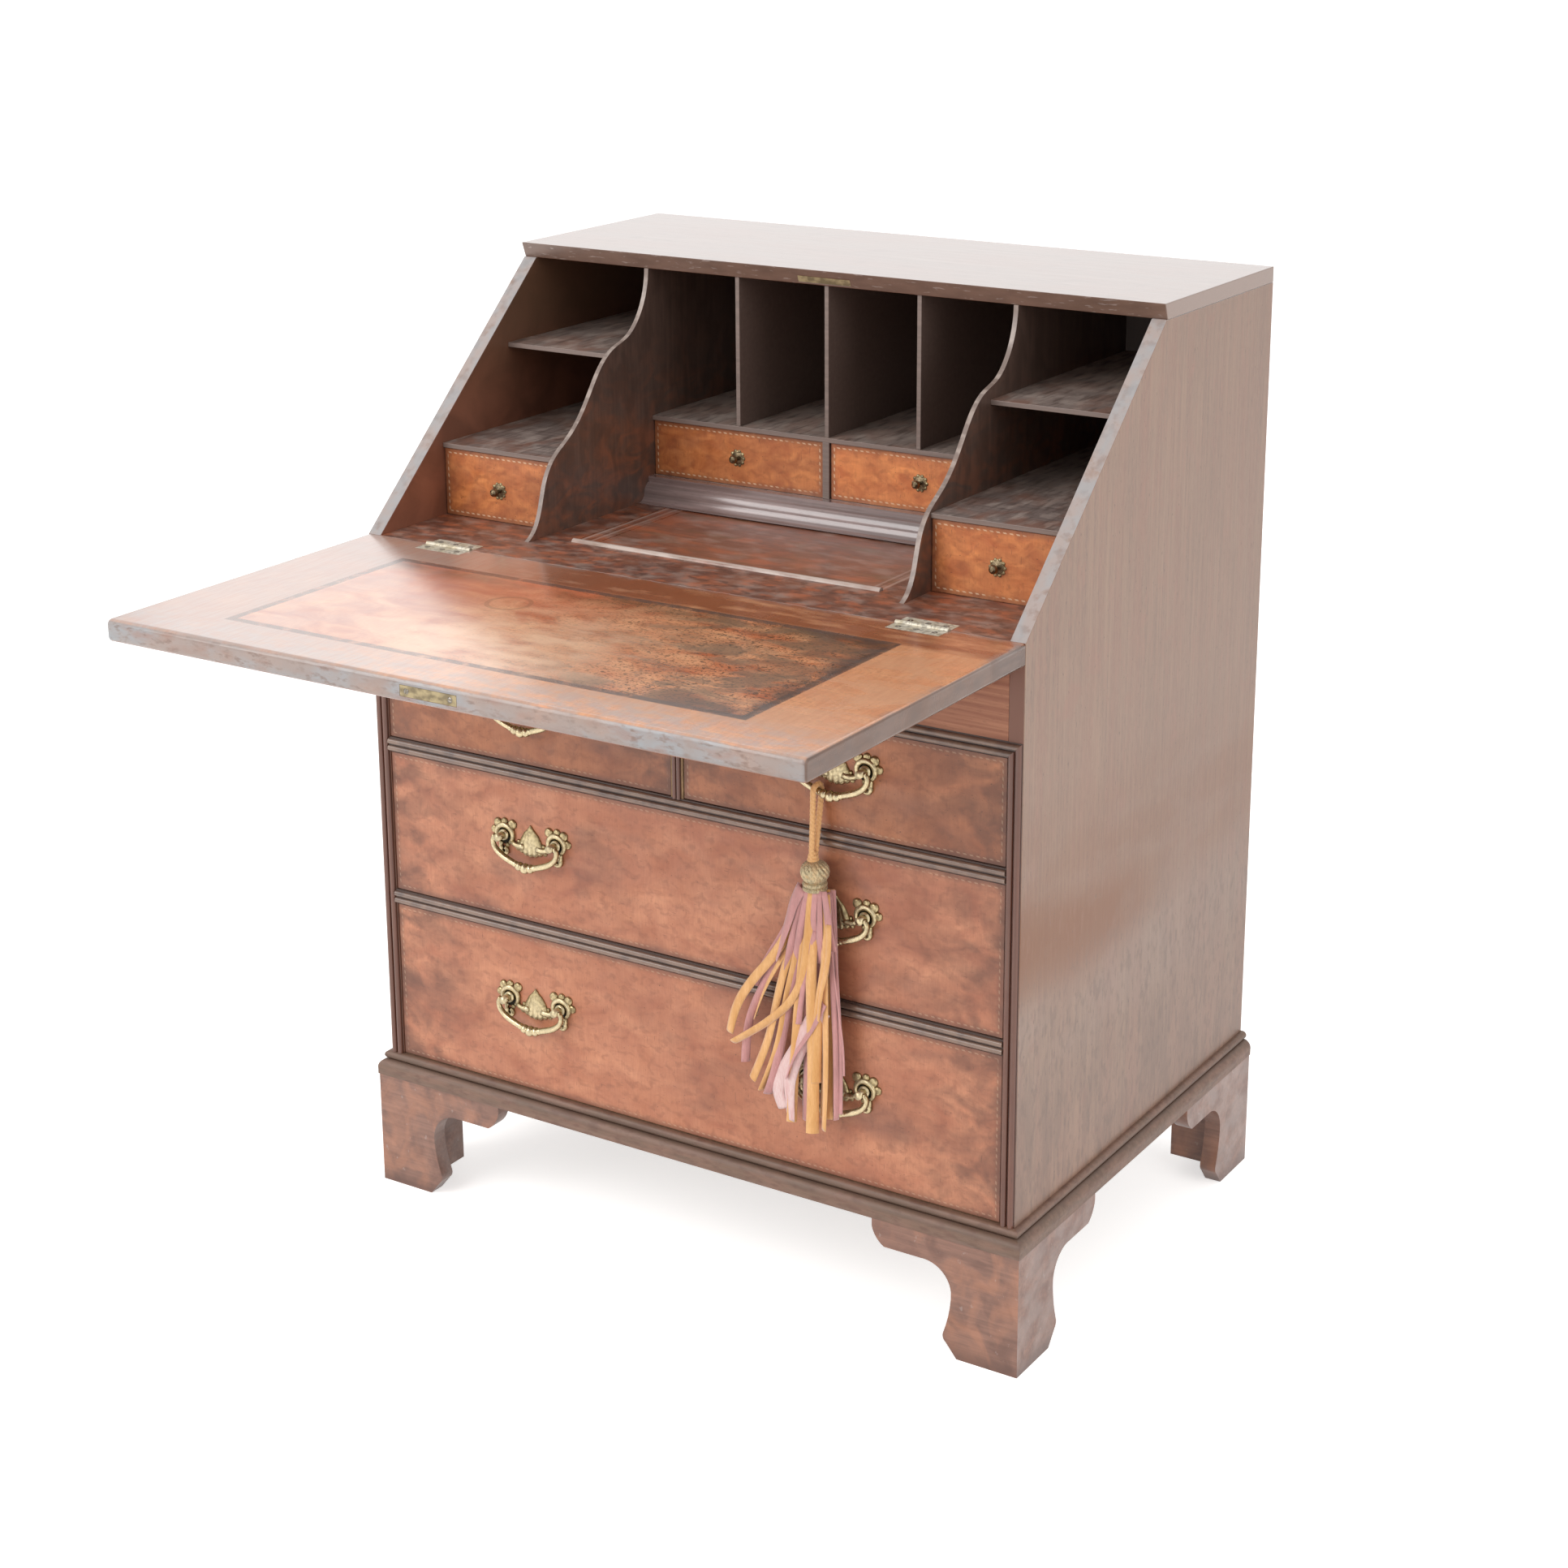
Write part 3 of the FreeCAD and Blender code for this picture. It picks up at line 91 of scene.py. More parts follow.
class CaseColours(bpy.types.PropertyGroup):
    front_pale: colour("Drawer figure", "Light figure of the drawer fronts", "#CF8E6B")
    front_deep: colour("Drawer ground", "Red-brown ground of the drawer fronts", "#A9674B")
    # Painted shade: the short drawers' colours are darker for the fall's shadow over them.
    short_pale: colour("Short drawers, light", "Light figure, shaded by the fall", "#BF7D56")
    short_deep: colour("Short drawers, dark", "Ground, shaded by the fall", "#9A5A39")
    front_smoke: colour("Drawer smoke", "Old dark polish near the fronts' ends", "#5E4036")
    stringing: colour("Stringing", "Pale dashes of the inlaid line", "#E3C9A8")
    side_pale: colour("Side, light", "Faded walnut of the sides", "#967965")
    side_deep: colour("Side, dark", "Darker grain of the sides", "#84695A")
    kept: colour("Side, kept warm", "Warm brown band left on the sides", "#78420F")
    top_face: colour("Top", "Sun-bleached top board", "#927B71")
    top_edge: colour("Top edge", "Front edge of the top board", "#73594C")
    wear_and_sheen: colour("Worn edge", "Grey-pink rubbed edges", "#AC9D97")
    slope_blue: colour("Worn edge, blue", "Blue-grey bloom on the slopes", "#9AA0A4")
    bead: colour("Beads", "Stained beads round the drawers", "#69534A")
    stile: colour("Upright beads", "Redder beads up both sides", "#6E4333")
    base: colour("Base moulding", "Grey-brown moulding over the feet", "#7A6050")
    foot: colour("Feet", "Rubbed red-brown bracket feet", "#936C5C")
    inside: colour("Inside faces", "Warm walnut inside the bureau", "#855440")
    lining: colour("Drawer linings", "Plain oak of drawer boxes and runners", "#A98A66")
    back: colour("Back panel", "Unpolished back boards", "#7E6148")


class DeskColours(bpy.types.PropertyGroup):
    drawer_pale: colour("Small drawers, light", "Light burr of the small drawers", "#E09055")
    drawer_deep: colour("Small drawers, dark", "Dark burr of the small drawers", "#B46438")
    divider: colour("Dividers", "Dark faces of the tall dividers", "#604C43")
    flame: colour("Warm figure", "Red-brown figure of dividers and shelves", "#85523B")
    shelf: colour("Shelves", "Dusty brown shelf faces", "#82716A")
    wave_edge: colour("Divider edges", "Pale rubbed edges of the dividers", "#85746B")
    # Painted highlight: the step's pale ground stands in for the sheen along it.
    step: colour("Step", "Ebonised cushion step", "#937D79")
    cover: colour("Well cover", "Red-brown field of the cover", "#935F4B")
    cover_lip: colour("Cover lip", "Pale rubbed lip of the cover", "#C2B1A6")
    floor: colour("Writing level", "Brown writing level", "#7A4D3D")
    fall_pale: colour("Fall figure", "Light figure of the fall", "#EDAA7C")
    fall_deep: colour("Fall ground", "Red ground of the fall", "#BF673F")
    fall_red: colour("Fall, red", "Red field kept where papers lay", "#CC6A46")
    # Painted highlight: the pale middle of the fall.
    fall_highlight: colour("Fall, bleached", "Bleached middle of the fall", "#F3C7A3")
    fall_stain: colour("Fall stain", "Old green-brown stains", "#6A5238")
    fall_band: colour("Fall band", "Dark inlaid band", "#5E4B43")
    fall_blue: colour("Fall edge, blue", "Blue-grey bloom on the worn front edge", "#91989D")
    fall_edge: colour("Fall edge", "Grey-blue worn front edge", "#95867F")


class MetalColours(bpy.types.PropertyGroup):
    bright: colour("Polished brass", "High spots of the handles", "#DED0AE")
    aged: colour("Aged brass", "Body of the handles", "#B3A17A")
    tarnish: colour("Tarnish", "Dark tarnish in hollows", "#463A28")
    hinge: colour("Hinge brass", "Hinges and lock plates", "#CDC5B4")
    bronze: colour("Small knobs", "Dark patinated small knobs", "#84745C")
    steel: colour("Screws", "Worn steel screws", "#8C857C")
    screw_radius: length("Screw head radius", "Radius of a hinge screw's head", 0.0030)


class TasselSettings(bpy.types.PropertyGroup):
    gold: colour("Gold ribbon", "Gold suede ribbons and cord", "#EAB67B")
    gold_deep: colour("Gold shade", "Deeper gold between the fibres", "#CE9450")
    mauve: colour("Mauve ribbon", "Mauve suede ribbons", "#D09794")
    gauze: colour("Gauze ribbon", "Pale gauze ribbon", "#E3C8C4")
    thread: colour("Head thread", "Antique gold thread of the head", "#C8B68F")
    cord_diameter: length("Cord diameter", "Diameter of the key cord", 0.006)
    cord_length: length("Cord length", "Length of the doubled cord", 0.160)
    cord_pitch: length("Cord lay", "Length of one full twist of the cord", 0.013)
    head_radius: length("Head radius", "Radius of the bound head", 0.0143)
    ribbon_thickness: length("Ribbon thickness", "Thickness of a ribbon", 0.0007)
    strands: IntProperty(
        name="Cord strands", description="Strands laid up in the cord", default=3, min=2, max=6)


class StageSettings(bpy.types.PropertyGroup):
    floor: colour("Floor", "Pale studio floor", "#F2F0EE")
    key_power: number("Key light", "Power of the large soft light at the front", 84.0,
                      unit="POWER")
    side_power: number("Side light", "Power of the soft light on the right", 30.0, unit="POWER")
    rear_power: number("Rear light", "Power of the soft window light behind", 18.0,
                       unit="POWER")
    sky: number("Fill", "Even fill light from all around", 0.78)
    lens: number("Lens", "Focal length", 65.434, unit="CAMERA")


class BureauSettings(bpy.types.PropertyGroup):
    case: PointerProperty(type=CaseColours)
    desk: PointerProperty(type=DeskColours)
    metal: PointerProperty(type=MetalColours)
    tassel: PointerProperty(type=TasselSettings)
    stage: PointerProperty(type=StageSettings)


# Finishes

def add(tree, kind, settings=None, links=None):
    """Adds a node. A setting goes to the socket of that name or number, or else to the node."""
    node = tree.nodes.new(f"ShaderNode{kind}")
    chosen = settings or {}
    for name in [n for n in chosen if isinstance(n, str) and n not in node.inputs]:
        setattr(node, name, chosen[name])
    for name in [n for n in chosen if not isinstance(n, str) or n in node.inputs]:
        value = chosen[name]
        wants_four = getattr(node.inputs[name], "type", "") == "RGBA" and len(value) == 3
        node.inputs[name].default_value = (*value, 1.0) if wants_four else value
    for name, source in (links or {}).items():
        tree.links.new(source, node.inputs[name])
    return node


class Finish:
    """A finish built up as a polisher does it: a ground, then figure, stains and lines."""

    def __init__(self, name, ground, roughness, coat=0.0, metallic=0.0, sheen=0.0):
        self.material = bpy.data.materials.new(name)
        self.material.use_nodes = True
        self.tree = self.material.node_tree
        self.tree.nodes.clear()
        self.shader = add(self.tree, "BsdfPrincipled", {
            "Base Color": ground, "Roughness": roughness, "Metallic": metallic,
            "Coat Weight": coat, "Coat Roughness": 0.18, "Sheen Weight": sheen})
        add(self.tree, "OutputMaterial", {}, {"Surface": self.shader.outputs[0]})
        where = add(self.tree, "TexCoord")
        self.point = where.outputs["Object"]
        self.place = add(self.tree, "SeparateXYZ", {}, {0: self.point}).outputs
        self.face = add(self.tree, "SeparateXYZ", {}, {0: where.outputs["Normal"]}).outputs
        self.ground = ground
        self.colour = None

    def put(self, kind, settings, links):
        """Adds a node to this finish and gives its first output."""
        return add(self.tree, kind, settings, links).outputs[0]

    def into(self, socket, source):
        """Leads a source to a socket of the shader."""
        self.tree.links.new(source, self.shader.inputs[socket])

    def both(self, first, *others):
        """Where all these masks are on. A mask may be the settings of patches."""
        masks = [self.patches(*mask) if isinstance(mask, tuple) else mask
                 for mask in (first, *others)]
        on = masks[0]
        for mask in masks[1:]:
            on = self.put("Math", {"operation": "MULTIPLY"}, {0: on, 1: mask})
        return on

    def patches(self, sizes, low=0.4, high=0.6, detail=3.0, twist=0.0, seed=0.0):
        """Random patches that measure sizes, in millimetres along X, Y and Z."""
        laid = self.put("Mapping", {
            "Scale": [1000 / s for s in sizes], "Location": (seed, seed * 1.7, seed * 2.3)},
            {"Vector": self.point})
        noise = self.put("TexNoise", {"Scale": 1.0, "Detail": detail, "Distortion": twist},
                         {"Vector": laid})
        return self.put("MapRange", {"From Min": low, "From Max": high}, {"Value": noise})

    def facing(self, axis, way, from_share=0.5, to_share=0.8):
        """Where the surface faces along an axis, 0 to 2, the way of the sign."""
        turned = self.put("Math", {"operation": "MULTIPLY", 1: way}, {0: self.face[axis]})
        return self.put("MapRange", {"From Min": from_share, "From Max": to_share},
                        {"Value": turned})

    def ramp(self, value, start, end):
        """Grows from none where value is start to full where it is end, softened."""
        return self.put("MapRange", {"From Min": start, "From Max": end,
                                     "interpolation_type": "SMOOTHSTEP"}, {"Value": value})

    def rising(self, axis, start, end):
        """Grows from none at start to full at end, in metres along an axis."""
        return self.ramp(self.place[axis], start, end)

    def off(self, value, middle):
        """How far a value is from the middle, either way."""
        away = self.put("Math", {"operation": "SUBTRACT", 1: middle}, {0: value})
        return self.put("Math", {"operation": "ABSOLUTE"}, {0: away})

    def rim(self, low, high, axes):
        """Distance in metres from the nearest side of the box low to high, along the axes."""
        nearest = None
        for axis in axes:
            middle, half = (low[axis] + high[axis]) / 2, (high[axis] - low[axis]) / 2
            away = self.put("Math", {"operation": "SUBTRACT", 0: half},
                            {1: self.off(self.place[axis], middle)})
            nearest = away if nearest is None else self.put(
                "Math", {"operation": "MINIMUM"}, {0: nearest, 1: away})
        return nearest

    def line(self, distance, middle, width):
        """A line of that width where the distance is middle."""
        return self.put("MapRange", {"From Min": width * 0.62, "From Max": width * 0.42},
                        {"Value": self.off(distance, middle)})

    def away(self, centre, counted=(1, 1, 1)):
        """Distance in metres from a point, along the axes that are counted."""
        kept = self.put("VectorMath", {"operation": "MULTIPLY", 1: counted}, {0: self.point})
        flat = [part * share for part, share in zip(centre, counted)]
        return add(self.tree, "VectorMath", {"operation": "DISTANCE", 1: flat},
                   {0: kept}).outputs["Value"]

    def dashes(self, first, second, pitch, share):
        """On and off along either of two axes, as an inlaid line of small blocks."""
        along = self.put("Math", {"operation": "ADD"},
                         {0: self.place[first], 1: self.place[second]})
        turn = self.put("Math", {"operation": "PINGPONG", 1: pitch / 2}, {0: along})
        return self.put("Math", {"operation": "LESS_THAN", 1: pitch / 2 * share}, {0: turn})

    def lay(self, over, strength, *masks):
        """Lays a colour over what is there, where all the masks are on. A mask may be the
        settings of patches: sizes in millimetres, low, high, detail, twist and seed."""
        weight = self.put("Math", {"operation": "MULTIPLY", 1: strength},
                          {0: self.both(*masks)})
        settings, links = {"data_type": "RGBA", 7: over}, {0: weight}
        if self.colour is None:
            settings[6] = self.ground
        else:
            links[6] = self.colour
        self.colour = add(self.tree, "Mix", settings, links).outputs[2]

    def relief(self, height, depth, strength=0.5):
        """Raises the surface by the height pattern, depth in metres."""
        links = {"Height": height}
        before = self.shader.inputs["Normal"].links
        if before:
            links["Normal"] = before[0].from_socket
        self.into("Normal", self.put("Bump", {"Strength": strength, "Distance": depth}, links))

    def gloss(self, value, smooth, rough):
        """Roughness goes from smooth to rough with the value."""
        self.into("Roughness", self.put("MapRange", {"To Min": smooth, "To Max": rough},
                                        {"Value": value}))

    def polish(self, mask, most):
        """A clear coat only where the mask is on."""
        self.into("Coat Weight", self.put("Math", {"operation": "MULTIPLY", 1: most},
                                          {0: mask}))

    def done(self):
        """The finished material."""
        if self.colour is not None:
            self.into("Base Color", self.colour)
        return self.material


def darker(shade, share):
    """A colour at that share of its brightness."""
    return tuple(part * share for part in shade)


def dress(material, *nodes):
    """Gives nodes of the model this material."""
    for name in nodes:
        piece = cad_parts[name]
        if not piece.material_slots:
            piece.data.materials.append(material)
        for held in piece.material_slots:
            held.link = "OBJECT"
            held.material = material


def soften(width, *nodes):
    """Rounds the hard edges of joiner's work, as sanding and wear do."""
    for name in nodes:
        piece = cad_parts[name]
        weld = piece.modifiers.new("join", "WELD")
        weld.merge_threshold = 0.01 * MM
        bevel = piece.modifiers.new("wear", "BEVEL")
        bevel.width = width
        bevel.segments = 2
        bevel.limit_method = "ANGLE"
        bevel.angle_limit = math.radians(38)
        bevel.use_clamp_overlap = True
        bevel.harden_normals = False


# The inlaid line of a drawer front: how far in from the edge, its width and its dashes.
STRING_INSET, STRING_WIDTH, DASH_PITCH = 4.2 * MM, 1.3 * MM, 7 * MM


def figured_front(kind, node, pale, deep, case, seed, scale=1.0, smoky=1.0, bright=0.2):
    """Veneers a drawer front with walnut, hand planed and waxed: it shows warm clouds, fine
    curl across the front, smoky old polish near the ends and one inlaid line of pale dashes.
    Its figure is finer by scale, and its smoke and inlay as strong as smoky and bright say."""
    low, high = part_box(node)
    smoke = case.front_smoke
    wood = Finish(f"{kind}_walnut_{node}", deep, 0.46, coat=0.05)
    # Curl is 2 to 3 mm between waves in the real veneer.
    curl = wood.patches((2.6, 60, 20), 0.3, 0.7, 2, 1.2, seed + 3)
    cloud = wood.patches((40, 200, 30), 0.38, 0.62, 6, 0.8, seed + 5)
    distance = wood.rim(low, high, (0, 2))
    wood.lay(pale, 1.0, ((58 * scale, 400, 34 * scale), 0.3, 0.7, 5, 0.9, seed))
    wood.lay(darker(deep, 0.82), 0.5,
             ((150 * scale, 400, 80 * scale), 0.42, 0.7, 3, 1.0, seed + 21))
    wood.lay(darker(deep, 0.7), 0.24, curl)
    wood.lay(darker(deep, 0.58), 0.42, ((11, 60, 8), 0.5, 0.68, 4, 0.5, seed + 9))
    wood.lay(smoke, 0.66 * smoky, wood.ramp(wood.rim(low, high, (0,)), 0.15, 0.004), cloud)
    wood.lay(smoke, 0.5 * smoky, ((90, 200, 46), 0.52, 0.72, 6, 0, seed + 7))
    wood.lay(darker(smoke, 0.8), 0.5, wood.ramp(distance, 0.009, 0.0))
    # Scratches and pores are 0.5 to 0.8 mm wide in life and drawn a little coarser.
    for size, start, strength in (((2.4, 3, 1.8), 0.73, 0.7), ((1.1, 9, 12), 0.74, 0.5),
                                  ((13, 9, 1.1), 0.75, 0.4)):
        wood.lay(darker(smoke, 0.5), strength,
                 (size, start, start + 0.03, 1, 0, seed + size[0]))
    wood.lay(case.stringing, bright, wood.line(distance, STRING_INSET, STRING_WIDTH),
             wood.dashes(0, 2, DASH_PITCH, 0.5), ((30, 30, 30), 0.35, 0.5, 3, 0, seed + 13))
    wood.gloss(cloud, 0.34, 0.5)
    wood.relief(curl, 0.0001, 0.22)
    dress(wood.done(), node)


def aged_brass(name, body, bright, tarnish, raised_from, raised_to, roughness):
    """Cast brass, filed, lacquered long ago and handled since: yellow-grey body, bright
    high spots and brown tarnish low down."""
    brass = Finish(name, body, roughness, metallic=1.0)
    spots = brass.patches((3, 3, 3), 0.4, 0.62, 4)
    brass.lay(tarnish, 0.5, spots)
    brass.lay(tarnish, 0.6, brass.rising(1, raised_from, raised_from + 2 * MM))
    brass.lay(bright, 0.55, brass.rising(1, raised_to + 3 * MM, raised_to))
    brass.gloss(spots, roughness * 0.8, roughness * 1.5)
    brass.relief(brass.patches((1.6, 1.6, 1.6), 0.3, 0.7, 2), 0.00015, 0.4)
    return brass.done()


def plain_wood(name, pale, deep, run, roughness, coat=0.0, seed=0.0):
    """Straight-grained wood: long soft streaks along the run axis, 2 to 4 mm apart. Its deep
    colour may be a share of the pale one."""
    if isinstance(deep, float):
        deep = darker(pale, deep)
    wood = Finish(name, deep, roughness, coat=coat)
    grain = [4.0] * 3
    grain[run] = 160.0
    wood.lay(pale, 1.0, (grain, 0.35, 0.68, 4, 0.4, seed))
    pore = [1.2] * 3
    pore[run] = 9.0
    pores = wood.patches(pore, 0.6, 0.75, 2, 0, seed + 2)
    wood.lay(darker(deep, 0.7), 0.5, pores)
    wood.relief(pores, 0.0001, 0.25)
    return wood


# Pieces

class BUREAU_OT_case(bpy.types.Operator):
    """Finishes the carcass: sides, top, back, feet and what is inside it"""
    bl_idname = "bureau.case"
    bl_label = "Finish the case"

    def execute(self, context):
        shades = context.scene.bureau.case
        self.sides(shades)
        self.top(shades)
        self.feet(shades)
        # Back boards are pine, left rough: dull, with long dark streaks. Inside the desk they
        # were stained grey-brown.
        back = plain_wood("sawn_pine", shades.back, 0.6, 2, 0.8)
        back.lay(darker(shades.wear_and_sheen, 0.5), 0.9, back.facing(1, -1))
        dress(back.done(), "back_panel", "bottom_board")
        # Hidden carcass work is oak, planed and dry: pale brown without shine.
        oak = plain_wood("planed_oak", shades.lining, 0.7, 1, 0.7)
        dress(oak.done(), "dust_boards", "drawer_runners", "loper_housings",
              "short_drawer_partition", "well_cover_runners", "lower_box", "upper_box",
              "short_box_left", "short_box_right")
        soften(0.7 * MM, "side_left", "side_right", "top_board", "back_panel")
        return {"FINISHED"}

    def sides(self, shades):
        """Faded walnut, quarter-cut and waxed: grey-brown outside with upright grain, warm
        brown inside, and a grey-pink rubbed slope."""
        pale, deep, foot, worn = shades.side_pale, shades.side_deep, shades.foot, shades.wear_and_sheen
        wood = plain_wood("waxed_walnut_side", pale, deep, 2, 0.42, coat=0.08)
        wood.lay(darker(deep, 0.86), 0.3, ((120, 130, 200), 0.42, 0.6, 5, 1.0, 4))
        wood.lay(darker(foot, 0.9), 0.5, ((12, 22, 300), 0.46, 0.68, 5, 0.4, 8))
        wood.lay(darker(pale, 1.08), 0.35, ((3, 3, 12), 0.42, 0.64, 4, 0.6, 88))
        wood.lay(foot, 0.42, ((50, 34, 46), 0.6, 0.68, 5, 0.6, 15))
        # A warm brown band across the middle, and below it a pale band of painted reflection.
        soft = ((90, 160, 50), 0.26, 0.58, 5, 0, 31)
        wood.lay(shades.kept, 0.4, soft, wood.rising(2, 0.60, 0.46), wood.rising(2, 0.36, 0.44))
        for centre in ((0, -0.12, 0.43), (0, 0.08, 0.405)):
            wood.lay(shades.kept, 0.7, ((90, 70, 60), 0.2, 0.5, 5, 0, 77),
                     wood.ramp(wood.away(centre, (0, 0.7, 1.9)), 0.15, 0.02))
        wood.lay(darker(foot, 1.1), 0.4, ((7, 5, 24), 0.56, 0.66, 4, 0, 53),
                 wood.rising(2, 0.3, 0.6))
        # Painted reflection: a pale grey-pink band from 0.41 m down to 0.25 m.
        wood.lay(worn, 0.14, soft, wood.rising(2, 0.41, 0.35), wood.rising(2, 0.25, 0.33))
        # Lower down and to the back the wax is darker, with knocks and specks in it.
        wood.lay(foot, 0.2, wood.rising(2, 0.3, 0.16))
        wood.lay(darker(deep, 0.7), 0.16, wood.rising(1, -0.06, 0.40))
        wood.lay(darker(deep, 0.7), 0.5, ((26, 18, 70), 0.42, 0.62, 6, 0, 47),
                 wood.rising(2, 0.42, 0.2))
        wood.lay(darker(deep, 0.62), 0.5, ((9, 7, 15), 0.5, 0.66, 5, 0, 57),
                 wood.rising(2, 0.43, 0.34))
        wood.lay(darker(deep, 0.5), 0.55, ((3, 3, 7), 0.67, 0.73, 2, 0, 44))
        slope = wood.facing(2, 1, 0.3, 0.5)
        wood.lay(darker(worn, 0.94), 0.95, slope, ((14, 14, 14), 0.22, 0.44, 5, 0, 6))
        wood.lay(shades.top_edge, 0.4, slope, ((10, 10, 16), 0.5, 0.68, 6, 0, 23))
        wood.lay(shades.slope_blue, 0.5, slope, ((20, 20, 60), 0.4, 0.6, 3, 0, 63))
        wood.lay(darker(shades.inside, 0.8), 0.95, wood.facing(1, -1, 0.9, 0.97))
        for way in (1, -1):
            inner = wood.both(wood.facing(0, way), wood.rising(0, 0.0, -0.1 * way))
            wood.lay(shades.inside, 1.0, inner)
            wood.lay(darker(shades.inside, 0.5), 0.6, inner,
                     ((40, 60, 50), 0.36, 0.62, 5, 1.0, 37))
            wood.lay(darker(shades.back, 0.4), 0.75, inner, wood.rising(2, 0.80, 0.94))
        dress(wood.done(), "side_left", "side_right")

    def top(self, shades):
        """Walnut top, polished and bleached by the sun: pale, shiny, with grain from end to
        end, and a dark front edge with chips and rubbed spots."""
        face, edge = shades.top_face, shades.top_edge
        wood = plain_wood("polished_walnut_top", face, 0.86, 0, 0.32, coat=0.5)
        wood.lay(shades.foot, 0.3, ((120, 60, 60), 0.4, 0.66, 5))
        wood.lay(darker(face, 0.7), 0.35, ((26, 14, 20), 0.56, 0.68, 5, 0, 19))
        wood.lay(shades.side_deep, 0.8, wood.facing(0, 1))
        front = wood.facing(1, -1, 0.5, 0.7)
        wood.lay(edge, 1.0, front)
        wood.lay(darker(edge, 0.62), 0.6, front, ((30, 20, 8), 0.4, 0.66, 5, 0, 9))
        wood.lay(shades.wear_and_sheen, 0.5, front, ((14, 20, 2.6), 0.62, 0.68, 3, 0, 3))
        wood.lay(shades.inside, 1.0, wood.facing(2, -1))
        dress(wood.done(), "top_board")

    def feet(self, shades):
        """Walnut feet, knocked and rubbed: red-brown faces, dark at the floor and pale along
        corners."""
        smoke, worn = shades.front_smoke, shades.wear_and_sheen
        wood = plain_wood("knocked_walnut_feet", shades.foot, 0.72, 0, 0.4, coat=0.15, seed=5)
        wood.lay(smoke, 0.55, ((40, 40, 30), 0.42, 0.64, 5, 1.2, 2))
        wood.lay(shades.front_pale, 0.3, ((34, 30, 40), 0.46, 0.64, 5, 0.8, 12),
                 wood.facing(1, -1))
        wood.lay(worn, 0.35, ((30, 30, 24), 0.36, 0.6, 5, 0, 22), wood.facing(0, 1))
        wood.lay(darker(smoke, 0.8), 0.6, wood.rising(2, 0.022, 0.0))
        wood.lay(worn, 0.4, ((6, 6, 9), 0.68, 0.74, 3, 0, 1))
        dress(wood.done(), "bracket_feet")
        soften(0.8 * MM, "bracket_feet")


# How far forward a bead's crown and the groove beside it lie, along Y in metres.
BEAD_CROWN, BEAD_QUIRK = (-0.0802, -0.0829), (-0.0812, -0.0795)


class BUREAU_OT_mouldings(bpy.types.Operator):
    """Finishes the beads round the drawers, the rails and the base moulding"""
    bl_idname = "bureau.mouldings"
    bl_label = "Finish the mouldings"

    def execute(self, context):
        shades = context.scene.bureau.case
        # Beads are walnut worked across the grain, stained dark and polished. A grey line of
        # painted highlight lies on their crowns, and painted shade darkens the groove beside them.
        for node, run, crown_highlight, shade in (("rail_beads", 0, 0.55, shades.bead),
                                      ("upright_beads", 2, 0.06, shades.stile)):
            wood = plain_wood(f"stained_walnut_{node}", shade, 0.7, run, 0.3,
                              coat=0.5 - 0.12 * run, seed=run * 9.0)
            wood.lay(shades.side_pale, crown_highlight, wood.rising(1, *BEAD_CROWN),
                     ((18, 18, 18), 0.3, 0.56, 4, 0, 2))
            wood.lay(darker(shade, 0.4), 0.85, wood.rising(1, *BEAD_QUIRK))
            dress(wood.done(), node)
        # Rails behind the beads are walnut of the same stain, less polished: they show dull.
        rail = plain_wood("stained_walnut_rails", shades.bead, 0.7, 0, 0.4)
        dress(rail.done(), "drawer_rails")
        # The frieze is plain walnut, red-brown with level grain: the drawer fronts' colours at 0.7,
        # as painted shade under the fall.
        frieze = plain_wood("walnut_frieze", darker(shades.front_pale, 0.7),
                            darker(shades.front_deep, 0.7), 0, 0.5)
        dress(frieze.done(), "frieze_panel")
        # Base moulding is solid walnut run with the plane: grey-brown with a pale worn
        # lower edge.
        foot, top = (corner.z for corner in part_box("base_moulding"))
        base = plain_wood("walnut_base_moulding", shades.base, 0.72, 0, 0.5)
        base.lay(shades.wear_and_sheen, 0.1, ((30, 30, 3), 0.4, 0.62, 4, 0, 7),
                 base.rising(2, foot + 8 * MM, foot))
        base.lay(shades.foot, 0.3, ((46, 46, 12), 0.42, 0.62, 5, 0, 17))
        base.lay(shades.front_smoke, 0.5, ((16, 16, 5), 0.5, 0.66, 5, 0, 27))
        base.lay(darker(shades.base, 0.45), 0.7, base.rising(2, top - 12 * MM, top - 8 * MM),
                 base.rising(2, top - 2 * MM, top - 6 * MM))
        dress(base.done(), "base_moulding")
        return {"FINISHED"}


class BUREAU_OT_fronts(bpy.types.Operator):
    """Veneers the four drawer fronts"""
    bl_idname = "bureau.fronts"
    bl_label = "Veneer the drawer fronts"

    def execute(self, context):
        shades = context.scene.bureau.case
        # The short drawers take darker colours: painted shade for the fall's shadow over them.
        long, short = (shades.front_pale, shades.front_deep), (shades.short_pale, shades.short_deep)
        for index, (node, look) in enumerate((
                ("lower_front", long), ("upper_front", long),
                ("short_front_left", short), ("short_front_right", short))):
            figured_front("figured", node, *look, shades, index * 17.0)
        return {"FINISHED"}


